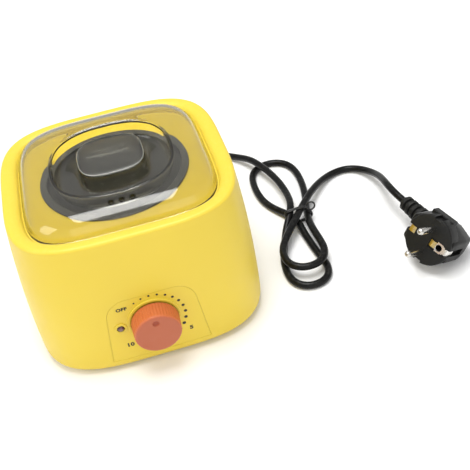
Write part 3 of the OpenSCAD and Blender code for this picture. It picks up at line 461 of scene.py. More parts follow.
def housingRings(h):
    edge, rim, under = h["foot"] + h["baseEdge"], h["height"] - h["rimEdge"], h["deck"] - h["deckThick"]
    seat = [(h["lip"] + out, h["lidPower"], h["deck"] + rise) for out, rise in h["lipRise"]]
    rimArc = [(halfAt(rim) - h["rimEdge"] * (1 - c), h["power"], rim + h["rimEdge"] * s)
              for c, s in arc(range(90, 0, -10))]
    footArc = [(halfAt(edge) - h["baseEdge"] * (1 - c), h["power"], edge - h["baseEdge"] * s)
               for c, s in arc(range(9, 91, 9))]
    inner = h["inner"]
    inside = [(h["baseOpen"], h["power"], z) for z in (h["foot"], h["foot"] + inner["rise"])]
    inside += sideRings(h["wall"], 8)[::-1]
    inside += [(inner["rim"], h["power"], h["height"] - h["wall"]), (inner["lip"], h["lidPower"], under)]
    deck = [(h["hole"], 2.0, under), (h["hole"], 2.0, h["deck"] - h["holeEdge"]),
            (h["hole"] + h["holeEdge"], 2.0, h["deck"])]
    deck += [(half, power, h["deck"]) for half, power in h["deckRings"]]
    outside = smoothRings(seat + h["rimRoll"], 5) + rimArc + sideRings(0, h["sideSteps"]) + footArc
    return outside + inside + deck


# control panel: an arch let into the front, with the dial's collar and the lamp's ring
panel = {
    "width": 0.059,
    "top": 0.0605,
    "foot": 0.0100,
    "corner": 0.014,
    "flare": 6.0,
    "seam": 0.00015,
    "thick": 0.004,
    "sheetGap": 0.00005,
    "archRun": (-0.060, -0.090),   # where the block that cuts the arch starts and ends
    "boreRun": (0.07, 0.09),
    "dialZ": 0.0385,
    "collar": (0.01578, 0.0177, 0.0008),   # inner and outer radius, and rise
    "lampX": -0.0224,
    "lampRing": (0.00252, 0.0042, 0.0005),
    "ringSink": (0.0002, 0.0012),
    "ringSoft": 0.45,
    "bush": 0.00355,
    "flange": 0.003,
    "washerSeat": 0.0075,
    "switchPad": (0.010, 0.07436, 0.0772),
    "boardPost": (0.00115, 0.003, 0.06536, 0.0772, 0.005),
    "boardAt": [(0.024, -0.015), (-0.024, -0.015), (0.017, 0.013), (-0.017, 0.013)],
}


def archOutline(margin):
    r = panel["corner"] - margin
    x = panel["width"] / 2 - panel["corner"]
    z = panel["top"] - panel["corner"]
    low = panel["foot"] + margin
    flare = math.radians(panel["flare"])
    foot = x + r * math.cos(flare) + (z + r * math.sin(flare) - low) * math.tan(flare)
    turns = [panel["flare"] + (90 - panel["flare"]) * k / 14 for k in range(15)]
    right = [(x + r * c, z + r * s) for c, s in arc(turns)]
    left = [(-px, pz) for px, pz in reversed(right)]
    return [(foot, low)] + right + left + [(-foot, low)]


def archBlock(margin):
    line = archOutline(margin)
    return loftMesh("archBlock", [(line, y) for y in panel["archRun"]], lambda x, z, y: (x, y, z))


def onDial(x, y, z):  # dial axis: z out of the front
    return (x, -z, panel["dialZ"] + y)


def screwPost(name, post, place):  # a round post with a blind hole in its low end
    bore, r, low, high, deep = post
    profile = [(bore, low), (r, low), (r, high), (0, high), (0, low + deep), (bore, low + deep)]
    return latheMesh(name, profile, 32, place)


def makeHousing(h):
    shell = ringMesh("housingFace", housingRings(h), h["steps"], loop=True)
    cutWith(shell, archBlock(0))
    z, r, low, high = h["leadHole"]
    cutWith(shell, drill("leadHole", r, low, high, 48, lambda a, b, c: (a, c, z + b)))
    posts = []
    for c, s in arc((45, 135, 225, 315)):
        bx, by = math.copysign(h["baseAt"][0], c), math.copysign(h["baseAt"][1], s)
        posts.append(screwPost("basePost", h["basePost"], shifted(upright, bx, by)))
        posts.append(screwPost("wellPost", h["wellPost"], shifted(upright, h["wellAt"] * c, h["wellAt"] * s)))
    return joined("housingShell", shell, *posts)


def panelSheet(name, outside, inside, margin):  # a bowed sheet in the arch's outline, with its bores
    rings = sideRings(outside, housing["sideSteps"]) + sideRings(inside, housing["sideSteps"])[::-1]
    sheet = cutWith(ringMesh(name, rings, housing["steps"], loop=True), archBlock(margin), "INTERSECT")
    low, high = panel["boreRun"]
    for shift, r in ((0, panel["bush"]), (panel["lampX"], panel["lampRing"][0])):
        cutWith(sheet, drill("panelBore", r, low, high, 64, shifted(onDial, shift, 0)))
    return sheet


def raisedRing(ring, out):  # profile of a ring with soft edges that stands on the panel
    low, high, rise = ring
    soft, top = rise * panel["ringSoft"], out + rise
    inSink, outSink = panel["ringSink"]
    outer = [(high - soft * (1 - c), top - soft * (1 - s)) for c, s in arc(range(15, 91, 15))]
    inner = [(low + soft * (1 - s), top - soft * (1 - c)) for c, s in arc(range(0, 91, 15))]
    return [(low, out - inSink), (high, out - outSink), (high, top - soft)] + outer + inner


def makePanel(p):
    wall, gap, out = housing["wall"], p["sheetGap"], halfAt(p["dialZ"])
    pieces = [panelSheet("panelFace", 0, wall + 2 * gap, p["seam"]),
              panelSheet("panelFlange", wall + gap, p["thick"], -p["flange"])]
    for r, a, b in ((p["washerSeat"], out - p["ringSink"][1], out + p["collar"][2]), p["switchPad"]):
        pieces.append(latheMesh("panelSeat", [(p["bush"], a), (r, a), (r, b), (p["bush"], b)], 64, onDial))
    for px, py in p["boardAt"]:
        pieces.append(screwPost("boardPost", p["boardPost"], shifted(onDial, px, py)))
    for shift, ring in ((0, p["collar"]), (p["lampX"], p["lampRing"])):
        pieces.append(latheMesh("panelRing", raisedRing(ring, out), 96, shifted(onDial, shift, 0)))
    return joined("controlPanel", *pieces)


housingShell = makeHousing(housing)
controlPanel = makePanel(panel)
print("housing and panel made")


# clear lid: a dome with a finger moat round a moulded grip
clearLid = {
    "half": 0.0632,
    "power": 4.4,
    "foot": 0.1015,
    "crown": 0.1155,
    "wall": 0.002,
    "moatHalf": 0.0397,
    "moatFloor": 0.1033,
    "gripHalf": 0.022,
    "gripTop": 0.1172,
    "gripEdge": (0.1160, 0.1170, 0.55, 0.85),   # the grip's bevel by its height and lean
    "moatEdge": (0.1140, 0.1155, 0.24, 0.60),
    "steps": 144,
    "holes": (0.0068, -0.0494, 0.0017),   # step, row and radius of the steam holes
    "holeRun": (0.108, 0.119),
    "holeWall": (1.01, 0.5),   # a hole's wall by its reach in radii and its lean
}


def lidRings(c, t):  # outer section, or the inner one when moved in by a wall of t
    h, m, g = c["half"], c["moatHalf"], c["gripHalf"]
    top, crown, floor = c["gripTop"], c["crown"], c["moatFloor"]
    grip = [
        (g * 0.04, 3.0, top + 0.0001 - t),
        (g * 0.30, 3.0, top + 0.0001 - t),
        (g * 0.55, 3.0, top - t),
        (g - 0.0009 - t * 0.5, 3.0, top - 0.0002 - t),
        (g - 0.0001 - t * 0.9, 3.0, top - 0.0010 - t * 0.6),
        (g + 0.0005 - t, 3.0, (top + floor) / 2),
    ]
    moat = [
        (g + 0.0012 - t, 3.0, floor + 0.0018 - t * 0.4),
        (g + 0.0026 - t * 0.6, 3.0, floor + 0.0003 - t),
        (m - 0.0042 + t * 0.6, 2.5, floor + 0.0003 - t),
        (m - 0.0028 + t * 0.85, 2.5, floor + 0.0018 - t * 0.4),
        (m - 0.0014 + t, 2.5, (crown + floor) / 2),
        (m - 0.0003 + t * 0.9, 2.5, crown - 0.0009 - t * 0.7),
    ]
    dome = [
        (m + 0.0010 + t * 0.5, 2.55, crown - 0.0001 - t),
        (m + 0.0065, 2.9, crown - 0.0001 - t),
        (h - 0.0104 - t * 0.2, 3.5, crown - 0.0010 - t),
        (h - 0.0057 - t * 0.5, 4.0, crown - 0.0029 - t * 0.9),
        (h - 0.0027 - t * 0.8, 4.2, crown - 0.0059 - t * 0.6),
        (h - 0.0009 - t, 4.35, crown - 0.0096 - t * 0.2),
        (h - t, c["power"], c["foot"]),
    ]
    return grip + moat + dome


def makeLid(c):
    outer, inner = (smoothRings(lidRings(c, t), 4) for t in (0, c["wall"]))
    lid = ringMesh("clearLid", outer + inner[::-1], c["steps"], ends=True, sharpAngle=60)
    step, row, r = c["holes"]
    low, high = c["holeRun"]
    holes = [drill("steamHole", r, low, high, 32, shifted(upright, k * step, row)) for k in (-1, 0, 1)]
    cutWith(lid, joined("steamHoles", *holes))
    setSharp(lid.data, 55)
    return lid


lidShell = makeLid(clearLid)
print("lid made")


# heat dial: a fluted knob with a pointer dimple
heatDial = {
    "back": 0.08086,
    "radius": 0.0157,
    "height": 0.0130,
    "dome": 0.0003,
    "taper": 0.0004,
    "edge": 0.0018,
    "wall": 0.0018,
    "skin": 0.0022,
    "bore": 0.00305,
    "boss": 0.0055,
    "bossLow": 0.0043,
    "footEdge": [(0.0002, 0.0001), (0.0006, 0.0)],   # in from the flank, and height
    "footHigh": 0.0006,
    "flutes": 48,
    "fluteDepth": 0.00030,
    "fluteLow": (0.0002, 0.0004),    # where the flutes start above the foot, and over what height they fade
    "fluteHigh": (0.0004, 0.0024),   # the same below the face
    "pointer": (0.0096, 0.0023, 0.0010),   # off centre, radius and depth
    "perFlute": 8,
}


def dialProfile(d):
    r, top, e, under = d["radius"], d["height"], d["edge"], d["height"] - d["skin"]
    face = [(0, top)] + [(r * k / 40, top - d["dome"] * (k / 36) ** 2) for k in range(1, 35)]
    curve = [(r - d["taper"] - e * (1 - c), top - d["dome"] - e * (1 - s)) for c, s in arc(range(90, -1, -9))]
    low = curve[-1][1]
    side = [(r - d["taper"] * (1 - k / 12), low + (d["footHigh"] - low) * k / 12) for k in range(1, 13)]
    foot = [(r - inset, z) for inset, z in d["footEdge"]]
    inside = [(r - d["wall"], 0), (r - d["wall"], under), (d["boss"], under), (d["boss"], d["bossLow"]),
              (d["bore"], d["bossLow"]), (d["bore"], under), (0, under)]
    return face + curve + side + foot + inside


def makeDial(d):
    dial = latheMesh("heatDial", dialProfile(d), d["flutes"] * d["perFlute"], upright)
    flank, top = d["radius"] - d["wall"] * 0.9, d["height"]
    (lowFrom, lowFade), (highFrom, highFade) = d["fluteLow"], d["fluteHigh"]
    off, reach, deep = d["pointer"]
    for v in dial.data.vertices:
        x, y, z = v.co
        r = math.hypot(x, y)
        if r > flank and lowFrom < z < top - highFrom:  # flutes, fading out at both ends
            fade = min(1.0, (top - highFrom - z) / highFade) * min(1.0, (z - lowFrom) / lowFade)
            wave = 0.5 + 0.5 * math.cos(math.atan2(y, x) * d["flutes"])
            shrink = 1 - d["fluteDepth"] * fade * (1 - wave) ** 1.6 / r
            x, y = x * shrink, y * shrink
        near = math.hypot(x, y - off) / reach
        if z > top - 2 * d["dome"] and near < 1:  # pointer dimple on the face
            z -= deep * (1 - near ** 4) ** 0.8
        v.co = onDial(x, y, z + d["back"])
    fixNormals(dial)
    setSharp(dial.data, 40)
    return dial


dialKnob = makeDial(heatDial)
print("dial made")


# plug: round front with contacts, behind it a tapered grip with two finger rests
mainsPlug = {
    "at": (0.1946, -0.0634, 0.02475),
    "axes": [(-0.399264, 0.896761, 0.190809), (-0.497408, -0.037042, -0.866725),
             (-0.770178, -0.440962, 0.460846)],
    "radius": 0.01825,
    "front": 0.010,
    "edge": 0.0012,
    "backEdge": 0.0006,
    "gripHalf": [(0.019, -0.009), (0.013, -0.0135), (-0.004, -0.0135), (-0.018, -0.008)],
    "gripRound": 0.0022,
    "levels": [(-0.0018, 0.965, 0.955), (-0.0024, 0.99, 0.985), (-0.0034, 1.0, 1.0), (-0.0185, 1.0, 1.0),
               (-0.0215, 0.975, 0.965), (-0.0305, 0.86, 0.80), (-0.0328, 0.82, 0.74), (-0.0340, 0.77, 0.66)],
    "rest": {"along": (-0.0072, 0.0112), "out": (0.012, 0.0180), "height": (-0.0150, -0.0080),
             "round": 0.0007, "bevel": 0.0006, "shrink": (0.95, 0.975)},
    "cutOver": 0.001,
    "cutOut": 0.022,
    "notch": (0.003, 0.01605),
    "stripSlot": (0.0154, 0.0026),
    "slotDeep": (-0.0190, -0.0090),
    "clipPocket": ((0.0108, 0.0156), 0.0028, 0.0006),   # along, half width and depth
    "platePocket": ((-0.0158, -0.0019), 0.0039, 0.0008),
    "earthHole": (-0.010, 0.0025, 0.015),
}


def onPlug(x, y, z):  # x towards the lead, y across the pins, z out of the face
    px, py, pz = (Vector(a) for a in mainsPlug["axes"])
    return Vector(mainsPlug["at"]) + x * px + y * py + z * pz


def bothSides(half):  # an outline closed by the mirror of its half
    return half + [(x, -y) for x, y in reversed(half)]


def roundedOutline(points, radius, steps):  # a polygon with its corners rounded
    out = []
    n = len(points)
    for i in range(n):
        a, b, c = (Vector(points[k % n]) for k in (i - 1, i, i + 1))
        u, v = (a - b).normalized(), (c - b).normalized()
        half = u.angle(v) / 2
        mid = b + (u + v).normalized() * (radius / math.sin(half))
        start, end = (b + way * (radius / math.tan(half)) - mid for way in (u, v))
        out += [tuple(mid + start.lerp(end, k / steps).normalized() * radius) for k in range(steps + 1)]
    return out


def plugBlock(name, xs, ys, zs):
    line = [(xs[0], ys[0]), (xs[1], ys[0]), (xs[1], ys[1]), (xs[0], ys[1])]
    return loftMesh(name, [(line, z) for z in zs], onPlug)


def plugFront(p):
    r, e, b, f = p["radius"], p["edge"], p["backEdge"], p["front"]
    edge = [(r - e * (1 - s), -e * (1 - c)) for c, s in arc(range(0, 91, 15))]
    back = [(r - b * (1 - c), -f + b * (1 - s)) for c, s in arc(range(0, 91, 30))]
    return latheMesh("plugFront", [(0, 0)] + edge + back + [(0, -f)], 120, onPlug)


def plugGrip(p):
    line = roundedOutline(bothSides(p["gripHalf"]), p["gripRound"], 6)
    return loftMesh("plugGrip", [([(x * a, y * b) for x, y in line], z) for z, a, b in p["levels"]], onPlug)


def plugCuts(p):  # notches and slots in the rim, pockets and a hole in the face
    over, out = p["cutOver"], p["cutOut"]
    (nx, ny), (sx, sy) = p["notch"], p["stripSlot"]
    cuts = []
    for s, deep in zip((-1, 1), p["slotDeep"]):
        cuts.append(plugBlock("notch", (-nx, nx), (s * ny, s * out), (-p["front"] - over, over)))
        cuts.append(plugBlock("slot", (s * sx, s * out), (-sy, sy), (deep, over)))
    for name in ("clipPocket", "platePocket"):
        xs, half, deep = p[name]
        cuts.append(plugBlock(name, xs, (-half, half), (-deep, over)))
    x, r, deep = p["earthHole"]
    return cuts + [drill("earthHole", r, -deep, over, 40, shifted(onPlug, x, 0))]


def fingerRest(w, s):  # s is the side that it stands on
    (xa, xb), (ya, yb), (low, high) = w["along"], w["out"], w["height"]
    line = roundedOutline([(xa, s * ya), (xb, s * ya), (xb, s * yb), (xa, s * yb)], w["round"], 4)
    mid = (xa + xb) / 2
    small = [((x - mid) * w["shrink"][0] + mid, y * w["shrink"][1]) for x, y in line]
    levels = [(small, low), (line, low + w["bevel"]), (line, high - w["bevel"]), (small, high)]
    return loftMesh("fingerRest", levels, onPlug)


def makePlug(p):
    body = cutWith(plugFront(p), plugGrip(p), "UNION")
    for cutter in plugCuts(p):
        cutWith(body, cutter)
    return joined("plugBody", body, *(fingerRest(p["rest"], s) for s in (-1, 1)))


plugBody = makePlug(mainsPlug)

# plug's contacts: a bent clip at the rim, a sprung strip and the plate round the earth hole
earthClip = {
    "width": 0.0048,
    "sheet": 0.0005,
    "clip": [(0.0112, -0.0003), (0.0125, 0.0001), (0.0146, 0.0001), (0.0160, -0.0004), (0.0166, -0.0016),
             (0.0167, -0.0088)],
    "strip": [(-0.0020, -0.0005), (-0.0031, 0.0), (-0.0046, 0.0003), (-0.0060, 0.0), (-0.0070, -0.0003)],
    "tail": [(-0.0150, -0.0003), (-0.0162, -0.0006), (-0.0167, -0.0016), (-0.0167, -0.0088)],
    "plateHalf": [(-0.0066, 0.0024), (-0.0076, 0.0024), (-0.0076, 0.0036), (-0.0126, 0.0036),
                  (-0.0126, 0.0029), (-0.0140, 0.0029), (-0.0140, 0.0021), (-0.0153, 0.0021)],
    "plateLevels": (-0.0007, -0.0002),
    "hole": (-0.010, 0.00245),
    "holeRun": (-0.002, 0.001),
}


def bentStrip(name, line, half, sheet):  # a strip of sheet metal bent along (x, z) points
    points = [Vector((x, 0, z)) for x, z in line]
    verts = []
    for p, ahead in zip(points, headings(points)):
        out = Vector((-ahead.z, 0, ahead.x))
        if out.z < 0 or (abs(out.z) < 1e-6 and out.x * p.x < 0):
            out = -out
        for y, d in ((-half, 0), (half, 0), (half, -sheet), (-half, -sheet)):
            q = p + out * d
            verts.append(onPlug(q.x, y, q.z))
    return closedMesh(name, verts, tubeFaces(len(points), 4), 30)


def makeContacts(c):
    half = c["width"] / 2
    bent = [bentStrip("contactStrip", c[key], half, c["sheet"]) for key in ("clip", "strip", "tail")]
    line = bothSides(c["plateHalf"])
    plate = loftMesh("contactPlate", [(line, z) for z in c["plateLevels"]], onPlug)
    x, r = c["hole"]
    low, high = c["holeRun"]
    cutWith(plate, drill("plateHole", r, low, high, 40, shifted(onPlug, x, 0)))
    return joined("earthContacts", plate, *bent)


plugContacts = makeContacts(earthClip)
print("plug made")


# printed scale on the panel: dots that grow, a word for off and two plain numbers
dialScale = {
    "dotRadius": 0.0204,
    "dotFirst": 120,
    "dotStep": -15,
    "dotCount": 17,
    "dotSize": (0.00062, 0.00125),
    "dotGrowing": 10,   # dots until the largest
    "dotTop": 0.9,
    "ink": 0.00003,
    "labels": [("OFF", -0.0187, 0.0152, 0.0034), ("5", 0.0217, -0.0160, 0.0043),
               ("10", -0.0194, -0.0162, 0.0043)],   # place from the dial's middle, and size
    "bold": 0.050,
    "spacing": 1.08,
    "stretch": 1.12,
}


def onPanel(x, z, lift):  # a point of the front, lifted off it
    h = halfAt(z)
    return (x, -(h * (1 - (abs(x) / h) ** housing["power"]) ** (1 / housing["power"])) - lift, z)


def makeDot(s, k):
    across, up = arc([s["dotFirst"] + k * s["dotStep"]])[0]
    small, large = s["dotSize"]
    r = small + (large - small) * min(1.0, k / s["dotGrowing"])
    profile = [(0, s["ink"] * 2), (s["dotTop"] * r, s["ink"] * 2), (r, s["ink"]), (0, s["ink"])]
    place = shifted(onPanel, s["dotRadius"] * across, panel["dialZ"] + s["dotRadius"] * up)
    return latheMesh("scaleDot", profile, 20, place)


def makeLabel(s, text, x, z, size):
    letters = bpy.data.curves.new("label", "FONT")
    letters.body = text
    letters.size = size
    letters.align_x = "CENTER"
    letters.align_y = "CENTER"
    letters.offset = size * s["bold"]
    letters.extrude = s["ink"] / 2
    letters.space_character = s["spacing"]
    holder = bpy.data.objects.new("label", letters)
    bpy.context.scene.collection.objects.link(holder)
    mesh = meshOf(holder)
    bpy.data.objects.remove(holder)
    for v in mesh.vertices:
        v.co = onPanel(x + v.co.x * s["stretch"], panel["dialZ"] + z + v.co.y, s["ink"] + v.co.z)
    return fixNormals(addObject("label", mesh))


def makeScale(s):
    dots = [makeDot(s, k) for k in range(s["dotCount"])]
    return joined("dialScale", *dots, *(makeLabel(s, *label) for label in s["labels"]))


scalePrint = makeScale(dialScale)
print("scale printed")


# shader node helpers, which find the tree by the sockets that they are given
def isSocket(value):
    return isinstance(value, bpy.types.NodeSocket)


def feed(socket, value):  # a link from another socket, or a plain value
    if isSocket(value):
        socket.id_data.links.new(value, socket)
    else:
        socket.default_value = value


def addNode(tree, kind, inputs, **settings):
    node = tree.nodes.new("ShaderNode" + kind)
    for key, value in settings.items():
        setattr(node, key, value)
    for key, value in inputs.items():
        feed(node.inputs[key], value)
    return node


def math2(how, a, b=0.0):
    tree = a.id_data if isSocket(a) else b.id_data
    return addNode(tree, "Math", {0: a, 1: b}, operation=how).outputs[0]


def plus(a, b):
    return math2("ADD", a, b)


def minus(a, b):
    return math2("SUBTRACT", a, b)


def times(a, b):
    return math2("MULTIPLY", a, b)


def hypotenuse(a, b):
    return math2("SQRT", plus(times(a, a), times(b, b)))


def mixColour(factor, *pair):
    a, b = (c if isSocket(c) else (*c, 1.0) for c in pair)
    return addNode(factor.id_data, "Mix", {0: factor, 6: a, 7: b}, data_type="RGBA").outputs[2]


def spread(value, low, high, outLow=0.0, outHigh=1.0):
    inputs = {0: value, 1: low, 2: high, 3: outLow, 4: outHigh}
    return addNode(value.id_data, "MapRange", inputs).outputs[0]


def noise(place, scale, detail, **more):
    inputs = {"Vector": place, "Scale": scale, "Detail": detail, **more}
    return addNode(place.id_data, "TexNoise", inputs).outputs[0]


def objectPlace(tree):
    return tree.nodes.new("ShaderNodeTexCoord").outputs["Object"]


def axesOf(vector):
    return addNode(vector.id_data, "SeparateXYZ", {0: vector}).outputs


def facing(tree):
    return axesOf(tree.nodes.new("ShaderNodeNewGeometry").outputs["Normal"])


# effects shared by several finishes
def newGroup(name, inputs, outputs):
    tree = bpy.data.node_groups.new(name, "ShaderNodeTree")
    for label, value in inputs.items():
        tree.interface.new_socket(label, in_out="INPUT", socket_type="NodeSocketFloat").default_value = value
    for label in outputs:
        tree.interface.new_socket(label, in_out="OUTPUT", socket_type="NodeSocketFloat")
    return tree, tree.nodes.new("NodeGroupInput").outputs, tree.nodes.new("NodeGroupOutput").inputs


def makeMouldGrain():  # spark-eroded mould texture and slow flow marks
    tree, given, result = newGroup("mouldGrain", {"Scale": 900.0, "Flow": 18.0}, ["Height", "Flow"])
    place = objectPlace(tree)
    fine = noise(place, given["Scale"], 3.0, Roughness=0.6)
    pits = addNode(tree, "TexVoronoi", {"Vector": place, "Scale": given["Scale"]}).outputs["Distance"]
    feed(result["Height"], plus(times(fine, 0.7), times(pits, 0.3)))
    feed(result["Flow"], spread(noise(place, given["Flow"], 2.0), 0.3, 0.7))
    return tree


def makeHandling():  # fingerprints' haze and hairline scratches
    tree, given, result = newGroup("handlingMarks", {"Scale": 40.0, "Hairline": 220.0}, ["Smudge", "Scratch"])
    place = objectPlace(tree)
    haze = noise(place, given["Scale"], 4.0, Roughness=0.55, Distortion=0.6)
    turned = {"Vector": place, "Rotation": (0.3, 0.5, 0.8), "Scale": (1.0, 0.04, 0.3)}
    drawn = addNode(tree, "Mapping", turned).outputs[0]
    feed(result["Smudge"], spread(haze, 0.42, 0.72))
    feed(result["Scratch"], spread(noise(drawn, given["Hairline"], 1.0), 0.68, 0.74))
    return tree


def makeDust():  # a thin film on what faces up
    tree, given, result = newGroup("settledDust", {"Amount": 0.3}, ["Dust"])
    speck = noise(objectPlace(tree), 420.0, 3.0, Roughness=0.7)
    film = times(spread(facing(tree)[2], 0.4, 1.0), spread(speck, 0.48, 0.75))
    feed(result["Dust"], times(film, given["Amount"]))
    return tree


def makeToolLines():  # fine lathe or roll lines on metal
    tree, given, result = newGroup("toolLines", {"Scale": 300.0, "Across": 0.03}, ["Height", "Tarnish"])
    place = objectPlace(tree)
    stretch = addNode(tree, "CombineXYZ", {0: given["Across"], 1: given["Across"], 2: 1.0}).outputs[0]
    drawn = addNode(tree, "VectorMath", {0: place, 1: stretch}, operation="MULTIPLY").outputs[0]
    feed(result["Height"], noise(drawn, given["Scale"], 4.0))
    feed(result["Tarnish"], spread(noise(place, 90.0, 3.0), 0.4, 0.75))
    return tree


mouldGrain, handlingMarks = makeMouldGrain(), makeHandling()
settledDust, toolLines = makeDust(), makeToolLines()
print("shared effects built")


def useGroup(tree, group, **values):
    return addNode(tree, "Group", values, node_tree=group).outputs


def ranged(mask, limits):
    return spread(mask, 0.0, 1.0, *limits)


def smudged(tree, scale, roughness):  # roughness from clean to handled
    return ranged(useGroup(tree, handlingMarks, Scale=scale)["Smudge"], roughness)


def tinted(colour, mask, tint):  # tint is how much of it and its colour
    return mixColour(times(mask, tint[0]), colour, tint[1])


# a material for each finish
made = {}


def newMaterial(name, plain):  # plain values of the shader by socket
    made[name] = bpy.data.materials.new(name)
    made[name].use_nodes = True
    tree = made[name].node_tree
    tree.nodes.clear()
    shader = addNode(tree, "BsdfPrincipled", plain)
    addNode(tree, "OutputMaterial", {0: shader.outputs[0]})
    return tree, shader


def finish(shader, colour, rough, height=None, bump=(0.0, 0.0)):  # bump is strength and distance
    feed(shader.inputs["Base Color"], colour)
    feed(shader.inputs["Roughness"], rough)
    if height:
        inputs = {"Strength": bump[0], "Distance": bump[1], "Height": height}
        feed(shader.inputs["Normal"], addNode(shader.id_data, "Bump", inputs).outputs[0])


def moulded(name, colour, tone, roughness, grain, depth, special):  # any moulded plastic or rubber
    look = {"flow": 18.0, "dust": 0.1, "dustColour": (0.8, 0.78, 0.72), "lift": 0.00008, "specular": 0.5,
            "smudge": 40.0, "scratchRough": 0.06, "dustRough": 0.2}
    look.update(special)
    tree, shader = newMaterial(name, {"IOR": 1.48, "Specular IOR Level": look["specular"]})
    texture = useGroup(tree, mouldGrain, Scale=grain, Flow=look["flow"])
    marks = useGroup(tree, handlingMarks, Scale=look["smudge"])
    dust = useGroup(tree, settledDust, Amount=look["dust"])["Dust"]
    blend = mixColour(dust, mixColour(texture["Flow"], colour, tone), look["dustColour"])
    rough = plus(ranged(marks["Smudge"], roughness), times(marks["Scratch"], look["scratchRough"]))
    rough = plus(rough, times(dust, look["dustRough"]))
    finish(shader, blend, rough, texture["Height"], (depth, look["lift"]))
    if "soft" in look:  # light soaks a little way into pale plastic
        shader.inputs["Subsurface Weight"].default_value = look["soft"]
        shader.inputs["Subsurface Radius"].default_value = (0.004, 0.003, 0.001)
        shader.inputs["Subsurface Scale"].default_value = 1.0


def metal(name, colour, tone, roughness, lines=300.0, across=0.03, depth=0.15):
    smudge, dulling, lift = 90.0, 0.08, 0.00004  # smudge scale, roughness of the tarnish, height of the lines
    tree, shader = newMaterial(name, {"Metallic": 1.0})
    worked = useGroup(tree, toolLines, Scale=lines, Across=across)
    rough = plus(smudged(tree, smudge, roughness), times(worked["Tarnish"], dulling))
    finish(shader, mixColour(worked["Tarnish"], colour, tone), rough, worked["Height"], (depth, lift))


blackTones = ((0.0060, 0.0060, 0.0054), (0.0090, 0.0090, 0.0080))
yellowDust = (0.9, 0.86, 0.6)
plastics = {   # colour, second tone, roughness from clean to handled, grain, its depth, and what is special
    "sunYellow": ((0.715, 0.536, 0.043), (0.735, 0.552, 0.048), (0.40, 0.50), 1500.0, 0.10,
                  {"dust": 0.04, "dustColour": yellowDust, "soft": 0.12}),
    "panelYellow": ((0.710, 0.532, 0.042), (0.730, 0.548, 0.047), (0.38, 0.48), 1500.0, 0.10,
                    {"dust": 0.03, "dustColour": yellowDust, "soft": 0.12}),
    "baseYellow": ((0.660, 0.500, 0.044), (0.690, 0.525, 0.050), (0.48, 0.6), 1100.0, 0.2, {"dust": 0.0}),
    "plugBlack": (*blackTones, (0.45, 0.58), 1300.0, 0.3, {"dust": 0.05, "lift": 0.00012, "specular": 0.24}),
    "reliefBlack": (*blackTones, (0.5, 0.62), 1000.0, 0.3, {"dust": 0.06, "specular": 0.24}),
    "glandBlack": (*blackTones, (0.5, 0.65), 900.0, 0.3, {}),
    "footRubber": ((0.014, 0.014, 0.014), (0.024, 0.023, 0.022), (0.75, 0.9), 700.0, 0.5, {"dust": 0.2}),
    "tieBlack": ((0.006, 0.006, 0.006), (0.012, 0.012, 0.011), (0.35, 0.5), 1500.0, 0.15, {"dust": 0.05}),
    "inkBlack": ((0.010, 0.009, 0.006), (0.020, 0.017, 0.010), (0.55, 0.7), 3000.0, 0.2, {"dust": 0.0}),
    # painted highlight: a pale finish on the lid's grip bevel
    "bevelPale": ((0.30, 0.30, 0.27), (0.34, 0.34, 0.31), (0.2, 0.3), 900.0, 0.1, {"dust": 0.0}),
    # painted shade: a dark finish on the lid's moat edge and in its steam holes
    "moatLine": ((0.020, 0.019, 0.014), (0.030, 0.029, 0.022), (0.2, 0.3), 900.0, 0.1,
                 {"dust": 0.0, "specular": 0.2}),
    "clampNylon": ((0.62, 0.60, 0.54), (0.68, 0.66, 0.60), (0.4, 0.55), 800.0, 0.2, {"soft": 0.2}),
    "sensorBlack": ((0.020, 0.018, 0.017), (0.032, 0.028, 0.026), (0.35, 0.5), 600.0, 0.25, {}),
    "micaBuff": ((0.30, 0.24, 0.15), (0.44, 0.37, 0.25), (0.4, 0.65), 260.0, 0.5,
                 {"flow": 60.0, "lift": 0.0002}),
    "fuseCream": ((0.62, 0.56, 0.42), (0.70, 0.64, 0.50), (0.45, 0.6), 900.0, 0.3, {}),
    "switchGrey": ((0.09, 0.10, 0.11), (0.13, 0.14, 0.15), (0.35, 0.5), 900.0, 0.2, {}),
    "triacBlack": ((0.016, 0.016, 0.017), (0.026, 0.026, 0.027), (0.5, 0.65), 1400.0, 0.4, {}),
    "capacitorRed": ((0.42, 0.06, 0.02), (0.50, 0.09, 0.03), (0.25, 0.4), 700.0, 0.2, {}),
    "terminalGreen": ((0.03, 0.16, 0.06), (0.05, 0.20, 0.08), (0.4, 0.5), 900.0, 0.2, {}),
    "liveBrown": ((0.14, 0.05, 0.015), (0.18, 0.07, 0.02), (0.4, 0.5), 900.0, 0.2, {}),
    "neutralBlue": ((0.02, 0.07, 0.38), (0.03, 0.09, 0.45), (0.4, 0.5), 900.0, 0.2, {}),
    "sleeveWhite": ((0.66, 0.65, 0.60), (0.74, 0.73, 0.68), (0.6, 0.75), 500.0, 0.6, {}),
}
metals = {   # colour, tarnish, roughness, and where they differ: lines, their stretch and their depth
    "screwSteel": ((0.62, 0.62, 0.60), (0.50, 0.50, 0.49), (0.22, 0.38)),
    "strapSteel": ((0.56, 0.56, 0.57), (0.46, 0.46, 0.47), (0.3, 0.45), 500.0),
    "wellAluminium": ((0.74, 0.75, 0.76), (0.62, 0.63, 0.64), (0.3, 0.45), 700.0, 0.02, 0.3),
    "pinNickel": ((0.62, 0.60, 0.56), (0.52, 0.50, 0.46), (0.14, 0.26), 900.0),
    "shaftSteel": ((0.60, 0.60, 0.60), (0.50, 0.50, 0.50), (0.2, 0.3), 900.0),
}
for name, look in plastics.items():
    moulded(name, *look)
for name, look in metals.items():
    metal(name, *look)
print("plastics and metals mixed:", len(made))


def handled(shader, look, colour, height):  # dust and handling over a colour
    dust = useGroup(shader.id_data, settledDust, Amount=look["dust"])["Dust"]
    rough = smudged(shader.id_data, look["smudge"], look["roughness"])
    finish(shader, mixColour(dust, colour, look["dustColour"]), rough, height, look["bump"])


